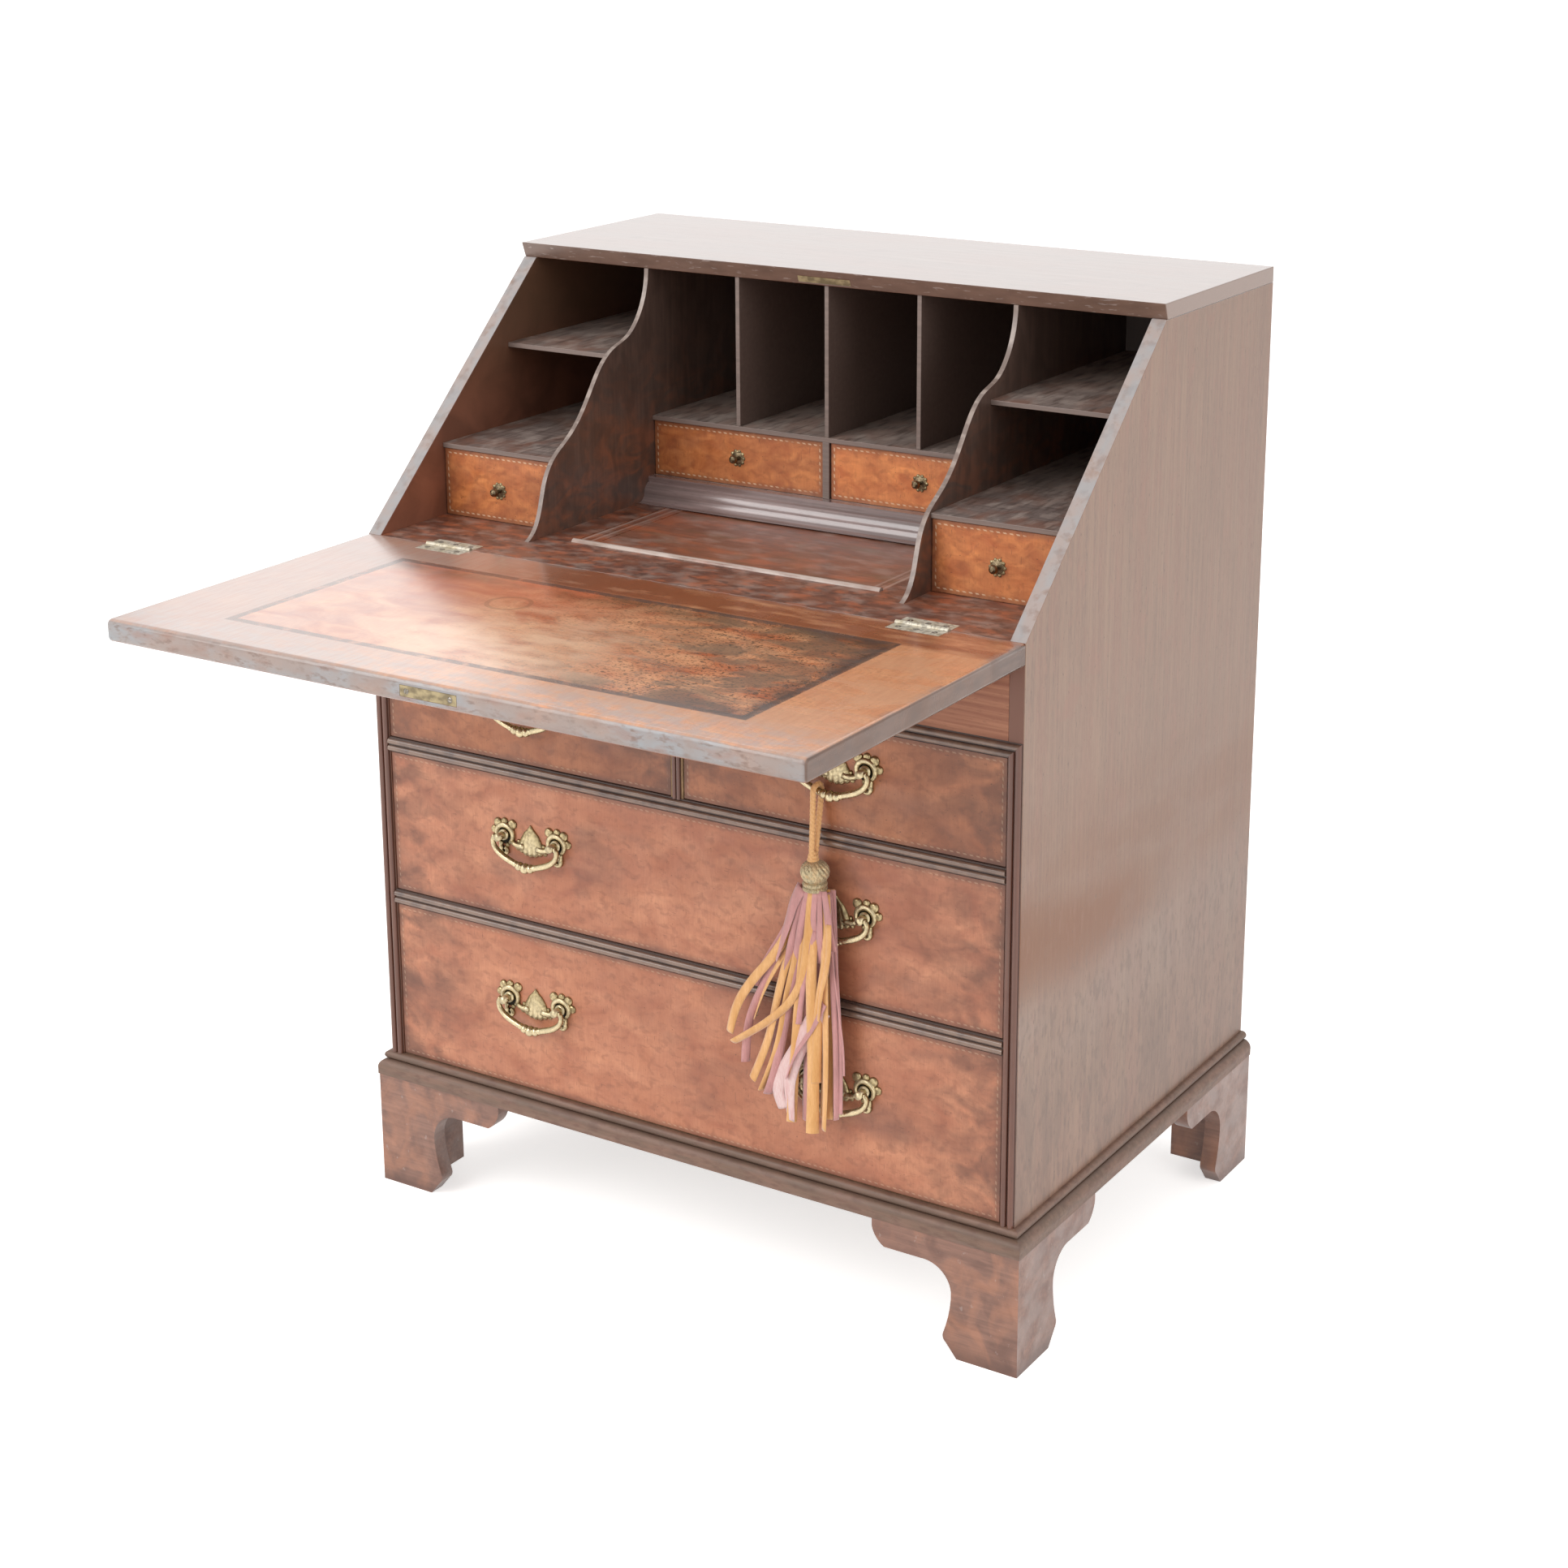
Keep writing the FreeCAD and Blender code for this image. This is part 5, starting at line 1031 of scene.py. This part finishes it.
class BUREAU_OT_handles(bpy.types.Operator):
    """Casts the six handles: scrolled and pierced plates with a fan, and swinging bails"""
    bl_idname = "bureau.handles"
    bl_label = "Cast the handles"

    def execute(self, context):
        shades = context.scene.bureau.metal
        metal = shades.aged, shades.bright, shades.tarnish
        # Plates are cast brass, lacquered and aged: cream-yellow with brown in the hollows.
        cast = aged_brass("cast_brass_plate", *metal, *PLATE_DEPTHS, 0.36)
        # Painted shade: near-black discs behind the scrolls stand in for the shadow seen through
        # their piercings. They show no shine.
        hollow = Finish("old_polish", darker(shades.tarnish, 0.3), 0.9).done()
        # Bails are brass rods, swaged and rubbed by hands: brighter than the plates.
        rubbed = aged_brass("handled_brass_bail", *metal, *BAIL_DEPTHS, 0.3)
        for node, body, bails in (
                ("lower_plates", "lower_drawer", ("lower_bail_left", "lower_bail_right")),
                ("upper_plates", "upper_drawer", ("upper_bail_left", "upper_bail_right")),
                ("short_plate_left", "short_drawer_left", ("short_bail_left",)),
                ("short_plate_right", "short_drawer_right", ("short_bail_right",))):
            places = []
            for bail in bails:
                low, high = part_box(bail)
                places.append(((low.x + high.x) / 2, high.z - 2.3 * MM, (low.y + high.y) / 2))
            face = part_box(body.replace("drawer", "front"))[0].y
            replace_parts(new_piece(f"{node}_cast", cast, body, "handle_brass", self.plates,
                                  places, face), node)
            new_piece(f"{node}_hollows", hollow, body, "handle_brass", self.hollows, places,
                      face)
            for bail, place in zip(bails, places):
                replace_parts(new_piece(f"{bail}_cast", rubbed, bail, "handle_brass",
                                      self.bail, *place), bail)
        return {"FINISHED"}

    def plates(self, built, places, face):
        """The plates of a drawer, each with its fan."""
        for x, z, _ in places:
            self.plate(built, x, z, face)
            self.fan(built, x, z, face)

    def hollows(self, built, places, face):
        """Near-black discs of painted shade inside the ring and the foot scrolls of plates."""
        for x, z, _ in places:
            for side in (-1, 1):
                dome(built, x + side * POST_REACH * MM, face, z, 11.5, 0.5)
                dome(built, x + side * 33.5 * MM, face, z - 17.5 * MM, 4, 0.5)

    def bail(self, built, x, z, y):
        """One bail with its pins, swelling to a turned drop in the middle."""
        half = [Vector((u * MM, 0, w * MM)) for u, w in BAIL_HALF]
        whole = half + [Vector((-p.x, 0, p.z)) for p in reversed(half[:-1])]
        whole = [p + Vector((x, y, z)) for p in whole]
        line = evenly(route_points("bail_route", whole), 0.7 * MM)
        run = sum((b - a).length for a, b in zip(line, line[1:]))

        def reach(share):
            away = abs(share - 0.5) * run / MM
            radius = 2.6 + 0.8 * math.sin(min(1.0, away / 48) * math.pi)
            for middle, half_width, extra in BAIL_SWELLS:
                off = (away - middle) / half_width
                if abs(off) < 1:
                    radius = max(radius, 2.1 + extra * math.sqrt(1 - off * off))
            return radius
        tube(built, line, reach, 16)
        for side in (-1, 1):
            pin, collar = ([Vector((x + side * u * MM, y, z)) for u in reaches]
                           for reaches in ((28.2, 38.2), (37.7, 38.2, 39.4, 39.9)))
            tube(built, pin, 1.6, 12)
            tube(built, collar, lambda share: 3.1 if 0.1 < share < 0.9 else 2.5, 16)

    def plate(self, built, x, z, face):
        """Scrolls round both posts, a foot scroll under each, and straps to the middle."""
        skin_y = face - 1.5 * MM
        for side in (-1, 1):
            post = x + side * POST_REACH * MM
            turn = 180 if side < 0 else 0

            def rod(start, end):
                return [Vector((post, face + d * MM, z)) for d in (start, end)]

            def bend(origin, *places):
                return [Vector((origin + side * u * MM, skin_y, z + w * MM)) for u, w in places]

            def scroll(out, down, radius, start, end, tighten):
                return round_line(post + side * out * MM, skin_y, z - down * MM, radius,
                                  turn + side * start, turn + side * end, tighten)
            for radius, start, end in POST_RODS:
                tube(built, rod(start, end), radius, 20)
            # The bolt's nut inside the drawer.
            tube(built, rod(18.0, 21.0), 5, 6)
            # Ring scroll, open at the lower inner side, thick where it faces outward.
            tube(built, scroll(0, 0, 10.4, 232, -52, 0.06),
                 lambda share: 1.9 + 1.4 * math.sin(share * math.pi))
            for u, w, radius, height in ROSETTE:
                dome(built, post + side * u * MM, face, z + w * MM, radius, height, 0.25)
            # Stem and foot scroll round its small hole.
            tube(built, bend(post, (4.0, -8.6), (5.2, -11), (5.4, -14), (4.8, -17)),
                 lambda share: 2.7 - 0.7 * share, 12)
            tube(built, scroll(0.9, 17.6, 4.3, 60, -250, 0.25),
                 lambda share: 2.7 - 0.5 * share, 12)
            dome(built, post - side * 2.6 * MM, face, z - 11.4 * MM, 2.6, 2.4)
            # Strap from the scroll to the fan, thicker at the fan.
            tube(built, bend(x, (25, -6.0), (21, -8.4), (17, -9.6), (12, -9.4), (8, -8.6)),
                 lambda share: 2.3 + 1.7 * share, 12)
            dome(built, x + side * 17.4 * MM, face, z - 12.8 * MM, 2.6, 2.4)
            dome(built, x + side * 15.8 * MM, face, z - 5.0 * MM, 2.3, 2.2)

    def fan(self, built, x, z, face):
        """A fluted fan with a pointed top and a scalloped foot."""
        down_steps, across_steps = 18, 40
        rows = []
        for down in range(down_steps + 1):
            v = down / down_steps
            half = (0.6 + 7.6 * (v / 0.3) ** 1.2 if v < 0.3
                    else 8.2 + 7.4 * math.sin((v - 0.3) / 0.7 * math.pi * 0.56))
            row = []
            for across in range(across_steps + 1):
                t = across / across_steps * 2 - 1
                flute = abs(math.cos(t * math.pi * 2.5))
                low_edge = -19.4 + 4.6 * t * t + 1.8 * (1 - flute)
                height = (1.2 + 2.6 * (1 - t * t) ** 0.5 * math.sin(min(1, v + 0.2) * 1.7)
                          + 0.8 * flute * v)
                if v > 0.93:
                    height *= (1 - v) / 0.07 * 0.6 + 0.4
                row.append(built.verts.new((x + t * half * MM, face - height * MM,
                                            z + (15.0 + (low_edge - 15.0) * v) * MM)))
            rows.append(row)
        skin(built, rows, closed=False)
        border = ([row[0] for row in rows] + rows[-1][1:]
                  + [row[-1] for row in reversed(rows[:-1])])
        skin(built, [border, [built.verts.new((v.co.x, face, v.co.z)) for v in border]],
             closed=False)


class BUREAU_OT_cord(bpy.types.Operator):
    """Makes the twisted key cord over the bail"""
    bl_idname = "bureau.cord"
    bl_label = "Make the key cord"

    def execute(self, context):
        settings = context.scene.bureau.tassel
        gap = 0.9 * MM
        route = [(CORD_X, y, z) for y, z in CORD_ROUTE]
        line = evenly(route_points("cord_route", route), gap)
        # Cord is rayon, laid up from strands: soft satin gold, dark between the strands.
        rayon = Finish("rayon_cord", settings.gold, 0.5, sheen=0.3)
        fibre = rayon.patches((0.8, 0.8, 5), 0.4, 0.65, 2)
        rayon.lay(settings.gold_deep, 0.5, fibre)
        rayon.relief(fibre, 0.0003, 0.6)
        material = rayon.done()
        cord = new_piece("key_cord", material, "tassel", "tassel_cord", self.twist, line, gap,
                         settings)
        new_piece("key_cord_knot", material, "tassel", "tassel_cord", self.knot, line)
        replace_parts(cord, "tassel_loop")
        cord["route"] = [tuple(p) for p in line]
        return {"FINISHED"}

    def twist(self, built, line, gap, settings):
        """Strands laid up round a line whose points are a gap apart."""
        rings, sideways = [], Vector((1, 0, 0))
        for index, place in enumerate(line):
            outward = sideways.cross(heading(line, index)).normalized()
            turn = 2 * math.pi * index * gap / settings.cord_pitch
            ring = []
            for angle in circle(24):
                lobe = abs(math.sin((angle - turn) * settings.strands / 2))
                reach = settings.cord_diameter / 2 * (0.76 + 0.24 * lobe ** 0.6)
                ring.append(built.verts.new(
                    place + (sideways * math.cos(angle) + outward * math.sin(angle)) * reach))
            rings.append(ring)
        skin(built, rings)
        cap(built, rings)

    def knot(self, built, line):
        """Three turns of the cord round both its ends, over the head."""
        x, y, z = line[0].x, (line[0].y + line[-1].y) / 2, line[0].z
        for lift, reach, thick in ((1.5, 3.4, 2.6), (5.0, 2.9, 2.4), (8.4, 2.2, 2.0)):
            turn = [Vector((x + reach * MM * math.cos(angle), y + reach * MM * math.sin(angle),
                            z + lift * MM)) for angle in circle(24) + [2 * math.pi]]
            tube(built, turn, thick, 10)


# Radius and level of the head's turned mould, as shares, from the top down.
HEAD_PROFILE = (
    (0.0, 1.0), (0.30, 1.0), (0.42, 0.985), (0.60, 0.955), (0.80, 0.88), (0.95, 0.77),
    (1.0, 0.64), (0.97, 0.51), (0.86, 0.40), (0.74, 0.335), (0.70, 0.31), (0.80, 0.295),
    (0.87, 0.25), (0.87, 0.20), (0.80, 0.165), (0.78, 0.15), (0.84, 0.13), (0.88, 0.08),
    (0.84, 0.03), (0.70, 0.0), (0.0, 0.0))


class BUREAU_OT_tassel_head(bpy.types.Operator):
    """Makes the tassel's bound head with its collar"""
    bl_idname = "bureau.tassel_head"
    bl_label = "Make the tassel head"

    def execute(self, context):
        settings = context.scene.bureau.tassel
        # Head is metallic thread wound over a wooden mould: brassy glints, dark between.
        thread = Finish("gilt_thread", settings.thread, 0.4, metallic=0.4, sheen=0.2)
        wound = thread.patches((1.1, 1.1, 4), 0.42, 0.62, 2)
        thread.lay(darker(settings.thread, 0.35), 0.65, wound)
        thread.lay(settings.gold, 0.25, ((7, 7, 6), 0.5, 0.62, 2, 0, 4))
        thread.relief(wound, 0.0004, 0.7)
        head = new_piece("key_tassel_head", thread.done(), "tassel", "tassel_head",
                         self.lathe, *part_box("tassel_head"), settings.head_radius)
        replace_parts(head, "tassel_head")
        return {"FINISHED"}

    def lathe(self, built, low, high, radius):
        """The turned mould with its ridges of thread: steep ones down the ball, and finer
        ones round the collar. It covers the box's upper part; ribbons spring from under it."""
        middle = (low + high) / 2
        height = (high.z - low.z) * 0.8
        foot = high.z - height
        shares = [step / 5 for step in range(5)]
        line = [(r0 + (r1 - r0) * share, z0 + (z1 - z0) * share)
                for (r0, z0), (r1, z1) in zip(HEAD_PROFILE, HEAD_PROFILE[1:])
                for share in shares] + [HEAD_PROFILE[-1]]
        rings = []
        for wide, level in line:
            ring = []
            for angle in circle(96):
                ridge = 0.0
                if 0.33 < level < 0.97:
                    ridge = 0.045 * math.cos(16 * (angle + level * 1.6))
                elif level < 0.32:
                    ridge = 0.03 * math.cos(40 * (angle - level * 2.0))
                reach = radius * wide * (0.955 + ridge)
                ring.append(built.verts.new((
                    middle.x + reach * math.cos(angle), middle.y + reach * math.sin(angle),
                    foot + height * level)))
            rings.append(ring)
        skin(built, rings)
        bmesh.ops.remove_doubles(built, verts=built.verts, dist=0.005 * MM)


# Ribbons of the tassel: colour, width in millimetres, how far forward it hangs from 0 to 1,
# and the places it passes, in millimetres along X and Z.
RIBBONS = (
    ("mauve", 14, 0.0, (160, 460), (148, 405), (138, 350), (130, 305), (122, 262)),
    ("gold", 13, 0.05, (168, 460), (160, 400), (153, 340), (147, 285), (142, 236)),
    ("mauve", 14, 0.0, (176, 460), (172, 400), (168, 340), (164, 285), (160, 228)),
    ("gold", 13, 0.04, (182, 460), (184, 400), (184, 340), (184, 285), (182, 222)),
    ("mauve", 9, 0.02, (186, 460), (191, 400), (193, 340), (195, 290), (195, 236)),
    ("mauve", 12, 0.25, (157, 460), (146, 424), (132, 398), (116, 372), (104, 346)),
    ("gold", 10.5, 0.75, (160, 458), (147, 415), (125, 380), (100, 350), (81, 318), (76, 292)),
    ("mauve", 9, 0.35, (161, 458), (141, 405), (118, 360), (97, 315), (92, 285), (91, 262)),
    ("gold", 9, 0.45, (163, 458), (150, 410), (130, 375), (112, 340), (104, 312)),
    ("gold", 10.5, 0.6, (164, 458), (147, 400), (133, 352), (122, 300), (110, 268), (101, 247)),
    ("gold", 10, 0.55, (166, 458), (156, 400), (142, 345), (134, 298), (122, 262), (111, 238)),
    ("mauve", 10, 0.5, (167, 458), (158, 405), (145, 350), (135, 300), (128, 262), (118, 235)),
    ("gold", 9.5, 0.98, (171, 458), (168, 410), (163, 370), (150, 342), (126, 318), (104, 300),
     (82, 284)),
    ("gold", 10.5, 0.7, (169, 458), (162, 400), (156, 345), (152, 295), (149, 250), (147, 213)),
    ("gauze", 20, 0.64, (182, 340), (170, 322), (158, 300), (148, 275), (142, 250), (146, 216)),
    ("gauze", 17, 0.5, (172, 325), (158, 300), (143, 276), (133, 256), (128, 240), (136, 224)),
    ("mauve", 9, 0.3, (171, 458), (164, 400), (162, 340), (162, 280), (160, 216)),
    ("gold", 13, 0.85, (172, 458), (171, 400), (171, 345), (173, 290), (173, 250), (172, 208)),
    ("mauve", 8, 0.92, (186, 348), (175, 323), (163, 304), (151, 285), (144, 260)),
    ("gold", 11, 0.7, (180, 458), (184, 410), (185, 360), (186, 310), (186, 260), (184, 214)),
    ("gold", 10, 0.8, (184, 458), (189, 415), (186, 382), (179, 345), (177, 300), (176, 262)),
    ("mauve", 6, 0.4, (184, 458), (190, 400), (193, 345), (196, 290), (196, 226)),
    ("mauve", 5, 0.2, (185, 458), (193, 400), (197, 345), (200, 290), (199, 232)),
    ("mauve", 2, 0.6, (186, 430), (194, 385), (201, 335), (206, 300), (206, 276)),
    ("mauve", 14, 0.93, (159, 461), (151, 446), (146, 426), (139, 404), (130, 382)),
    ("mauve", 10, 0.86, (166, 461), (160, 444), (155, 424), (148, 398), (142, 372)),
    ("mauve", 12, 0.95, (173, 461), (172, 444), (172, 424), (174, 402)),
    ("mauve", 13, 0.9, (182, 461), (187, 444), (190, 424), (191, 402)),
    ("mauve", 9, 0.99, (168, 461), (164, 440), (158, 410), (151, 378)),
    ("mauve", 8, 0.99, (178, 461), (180, 440), (181, 414), (178, 386)),
    ("mauve", 6, 0.9, (176, 420), (166, 380), (160, 345), (157, 320)),
    ("gold", 9, 0.97, (190, 430), (192, 404), (188, 380), (182, 356), (180, 330)),
)
# Ribbons that end above this level, in millimetres, tuck in behind the others.
TUCKED_ABOVE = 360
TUCKED_FORWARD = 0.4
# Ribbons spring from under the head at this level, and fan out over that drop.
SPRING_LEVEL, SPRING_DROP = 462, 60


class BUREAU_OT_ribbons(bpy.types.Operator):
    """Makes the tassel's suede ribbons"""
    bl_idname = "bureau.ribbons"
    bl_label = "Make the ribbons"

    def execute(self, context):
        settings = context.scene.bureau.tassel
        low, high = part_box("tassel_skirt")
        back, front = high.y - 1.0 * MM, low.y + 1.0 * MM
        dice = random.Random(11)
        strips = {"gold": [], "mauve": [], "gauze": []}
        for kind, width, forward, *places in RIBBONS:
            top_y = TASSEL_Y - 0.006 * (forward - 0.5) * 2
            depth = back + (front - back) * forward
            points = []
            for x, z in places:
                share = min(1, (SPRING_LEVEL - z) / SPRING_DROP)
                points.append(Vector((x * MM, top_y + (depth - top_y) * share, z * MM)))
            if places[-1][1] > TUCKED_ABOVE:
                points[-1].y = back + (front - back) * TUCKED_FORWARD
            line = evenly(route_points("ribbon_route", points), 5.0 * MM)
            lean, curl = dice.uniform(-0.4, 0.4), dice.uniform(-1.1, 1.1)
            strips[kind].append((line, width * MM / 2, settings.ribbon_thickness, lean, curl))
        for kind, name, shade, deep in (
                ("gold", "gold_suede", settings.gold, settings.gold_deep),
                ("mauve", "mauve_suede", settings.mauve, darker(settings.mauve, 0.7)),
                ("gauze", "pale_gauze", settings.gauze, settings.mauve)):
            ribbons = new_piece(f"{kind}_ribbons", self.suede(name, shade, deep), "tassel",
                                "tassel_ribbon", self.bunch, strips[kind])
            if kind == "gold":
                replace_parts(ribbons, "tassel_skirt")
        return {"FINISHED"}

    def bunch(self, built, strips):
        """All the strips of one colour."""
        for row in strips:
            self.strip(built, *row)

    def suede(self, name, shade, deep):
        """Suede split, cut in strips: matt with a soft nap that lightens at a slant. Gauze is
        pale silk with the same soft look from a distance."""
        leather = Finish(name, shade, 0.85, sheen=0.5)
        nap = leather.patches((1.2, 1.2, 6), 0.4, 0.68, 3)
        leather.lay(deep, 0.45, nap)
        leather.lay(deep, 0.6, ((9, 9, 50), 0.4, 0.66, 3, 0, 3))
        leather.relief(nap, 0.0002, 0.5)
        return leather.done()

    def strip(self, built, line, half, thickness, lean, curl):
        """A flat strip along a line, dished across and turning a little on its way."""
        across_steps = 4
        layers = ([], [])
        total = len(line) - 1
        for index, place in enumerate(line):
            along = heading(line, index)
            share = index / total
            sideways = along.cross(Vector((0, -1, 0))).normalized()
            sideways.rotate(Quaternion(along, lean + curl * share * share))
            outward = sideways.cross(along).normalized()
            taper = half * (1.0 - 0.12 * math.sin(share * math.pi))
            for layer, lift in zip(layers, (thickness / 2, -thickness / 2)):
                row = []
                for step in range(across_steps + 1):
                    out = (step / across_steps * 2 - 1)
                    dish = (1 - out * out) * half * 0.26
                    row.append(built.verts.new(
                        place + sideways * out * taper + outward * (lift + dish)))
                layer.append(row)
        for layer in layers:
            skin(built, layer, closed=False)
        for step in (0, across_steps):
            skin(built, [[row[step] for row in layer] for layer in layers], closed=False)
        for index in (0, total):
            skin(built, [layer[index] for layer in layers], closed=False)


# The photograph's view: where its camera stands, which way it looks and how it is tilted.
CAMERA_PLACE = (1.5057, -2.2500, 1.4600)
CAMERA_AZIMUTH, CAMERA_ELEVATION, CAMERA_ROLL = 32.45, 16.307, -0.305
# Soft lights: name, setting with the power, place, aim and side in metres.
LAMPS = (("key_light", "key_power", (-1.6, -2.9, 2.5), (0, -0.1, 0.5), 2.6),
         ("side_light", "side_power", (3.2, -0.3, 1.7), (0.3, 0.1, 0.6), 2.4),
         ("rear_light", "rear_power", (-2.0, 3.3, 2.1), (0, 0, 0.75), 3.2))
WHITE = (1, 1, 1)


class BUREAU_OT_stage(bpy.types.Operator):
    """Sets the pale floor, the soft studio lights and the camera"""
    bl_idname = "bureau.stage"
    bl_label = "Set the stage"

    def execute(self, context):
        settings = context.scene.bureau.stage
        scene = context.scene
        self.floor(settings)
        self.world(scene, settings)
        for name, power, place, aim, size in LAMPS:
            self.lamp(name, getattr(settings, power), place, aim, size)
        eye = bpy.data.cameras.new("photo_camera")
        eye.lens = settings.lens
        eye.sensor_width = 36.0
        eye.shift_y = -0.10
        eye.clip_end = 100.0
        camera = bpy.data.objects.new("photo_camera", eye)
        scene.collection.objects.link(camera)
        azimuth, elevation = math.radians(CAMERA_AZIMUTH), math.radians(CAMERA_ELEVATION)
        back = Vector((math.sin(azimuth) * math.cos(elevation),
                       -math.cos(azimuth) * math.cos(elevation), math.sin(elevation)))
        camera.location = CAMERA_PLACE
        camera.rotation_mode = "QUATERNION"
        roll = Quaternion((0, 0, 1), math.radians(CAMERA_ROLL))
        camera.rotation_quaternion = (-back).to_track_quat("-Z", "Y") @ roll
        scene.camera = camera
        scene.view_settings.view_transform = "Standard"
        return {"FINISHED"}

    def seen(self, tree, *rays):
        """Where any of these kinds of ray arrives."""
        path = add(tree, "LightPath")
        found = path.outputs[rays[0]]
        for ray in rays[1:]:
            found = add(tree, "Math", {"operation": "MAXIMUM"},
                        {0: found, 1: path.outputs[ray]}).outputs[0]
        return found

    def floor(self, settings):
        """A wide plain floor. The camera sees it nearly white, with the soft shadow left."""
        mesh = bpy.data.meshes.new("studio_floor")
        reach = 30.0
        mesh.from_pydata([(-reach, -reach, 0), (reach, -reach, 0), (reach, reach, 0),
                          (-reach, reach, 0)], [], [(0, 1, 2, 3)])
        floor = bpy.data.objects.new("studio_floor", mesh)
        bpy.context.scene.collection.objects.link(floor)
        # Floor is matt white paper: no shine, brightened only for the camera.
        material = bpy.data.materials.new("studio_paper")
        material.use_nodes = True
        tree = material.node_tree
        tree.nodes.clear()
        seen = self.seen(tree, "Is Camera Ray", "Is Glossy Ray")
        paper = add(tree, "BsdfDiffuse", {"Color": settings.floor}).outputs[0]
        glow = add(tree, "Emission", {"Strength": 0.6}).outputs[0]
        both = add(tree, "AddShader", {}, {0: paper, 1: glow}).outputs[0]
        mixed = add(tree, "MixShader", {}, {0: seen, 1: paper, 2: both}).outputs[0]
        add(tree, "OutputMaterial", {}, {"Surface": mixed})
        mesh.materials.append(material)

    def world(self, scene, settings):
        """White to the camera and in reflections, and a soft even fill for the rest."""
        world = bpy.data.worlds.new("studio")
        scene.world = world
        world.use_nodes = True
        tree = world.node_tree
        tree.nodes.clear()
        seen = self.seen(tree, "Is Camera Ray", "Is Transmission Ray", "Is Glossy Ray")
        fill, white = (add(tree, "Background", {"Color": WHITE, "Strength": strength}).outputs[0]
                       for strength in (settings.sky, 1.0))
        mixed = add(tree, "MixShader", {}, {0: seen, 1: fill, 2: white}).outputs[0]
        add(tree, "OutputWorld", {}, {"Surface": mixed})

    def lamp(self, name, power, place, aim, size):
        """A large square soft light."""
        data = bpy.data.lights.new(name, "AREA")
        data.energy = power
        data.shape = "SQUARE"
        data.size = size
        light = bpy.data.objects.new(name, data)
        light.location = place
        light.rotation_mode = "QUATERNION"
        light.rotation_quaternion = (Vector(aim) - Vector(place)).to_track_quat("-Z", "Y")
        light.visible_camera = False
        bpy.context.scene.collection.objects.link(light)


class BUREAU_OT_soft_goods(bpy.types.Operator):
    """Gives the cord, its knot, the tassel head and the ribbons meshes of their own"""
    bl_idname = "bureau.soft_goods"
    bl_label = "Declare cord and ribbons"

    def execute(self, context):
        cord = bpy.data.objects["key_cord"]
        ends = [bpy.data.objects[name] for name in ("key_tassel_head", "key_cord_knot")]
        ribbons = [bpy.data.objects[f"{kind}_ribbons"] for kind in ("gold", "mauve", "gauze")]
        for piece in [cord] + ends + ribbons:
            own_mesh(piece)
        return {"FINISHED"}


# Panel and registration

OPERATORS = (
    BUREAU_OT_stage, BUREAU_OT_cord, BUREAU_OT_tassel_head, BUREAU_OT_ribbons,
    BUREAU_OT_case, BUREAU_OT_mouldings, BUREAU_OT_fronts, BUREAU_OT_desk, BUREAU_OT_fall,
    BUREAU_OT_handles, BUREAU_OT_brass, BUREAU_OT_screws, BUREAU_OT_soft_goods,
)


class BUREAU_PT_panel(bpy.types.Panel):
    """Lists the steps and settings of the bureau"""
    bl_idname = "BUREAU_PT_panel"
    bl_label = "Writing bureau"
    bl_space_type = "VIEW_3D"
    bl_region_type = "UI"
    bl_category = "Bureau"

    def draw(self, context):
        settings = context.scene.bureau
        for step in OPERATORS:
            self.layout.operator(step.bl_idname)
        for group in ("case", "desk", "metal", "tassel", "stage"):
            held = getattr(settings, group)
            box = self.layout.box()
            box.label(text=group.capitalize())
            for name in held.bl_rna.properties.keys():
                if name not in ("rna_type", "name"):
                    box.prop(held, name)


CLASSES = (CaseColours, DeskColours, MetalColours, TasselSettings, StageSettings,
           BureauSettings, *OPERATORS, BUREAU_PT_panel)


def register():
    for made in CLASSES:
        bpy.utils.register_class(made)
    bpy.types.Scene.bureau = PointerProperty(type=BureauSettings)


def unregister():
    del bpy.types.Scene.bureau
    for made in reversed(CLASSES):
        bpy.utils.unregister_class(made)


def main():
    """Dresses the bureau and sets its stage."""
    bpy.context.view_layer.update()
    register()
    for step in OPERATORS:
        group, name = step.bl_idname.split(".")
        getattr(getattr(bpy.ops, group), name)()


if __name__ == "__main__":
    main()
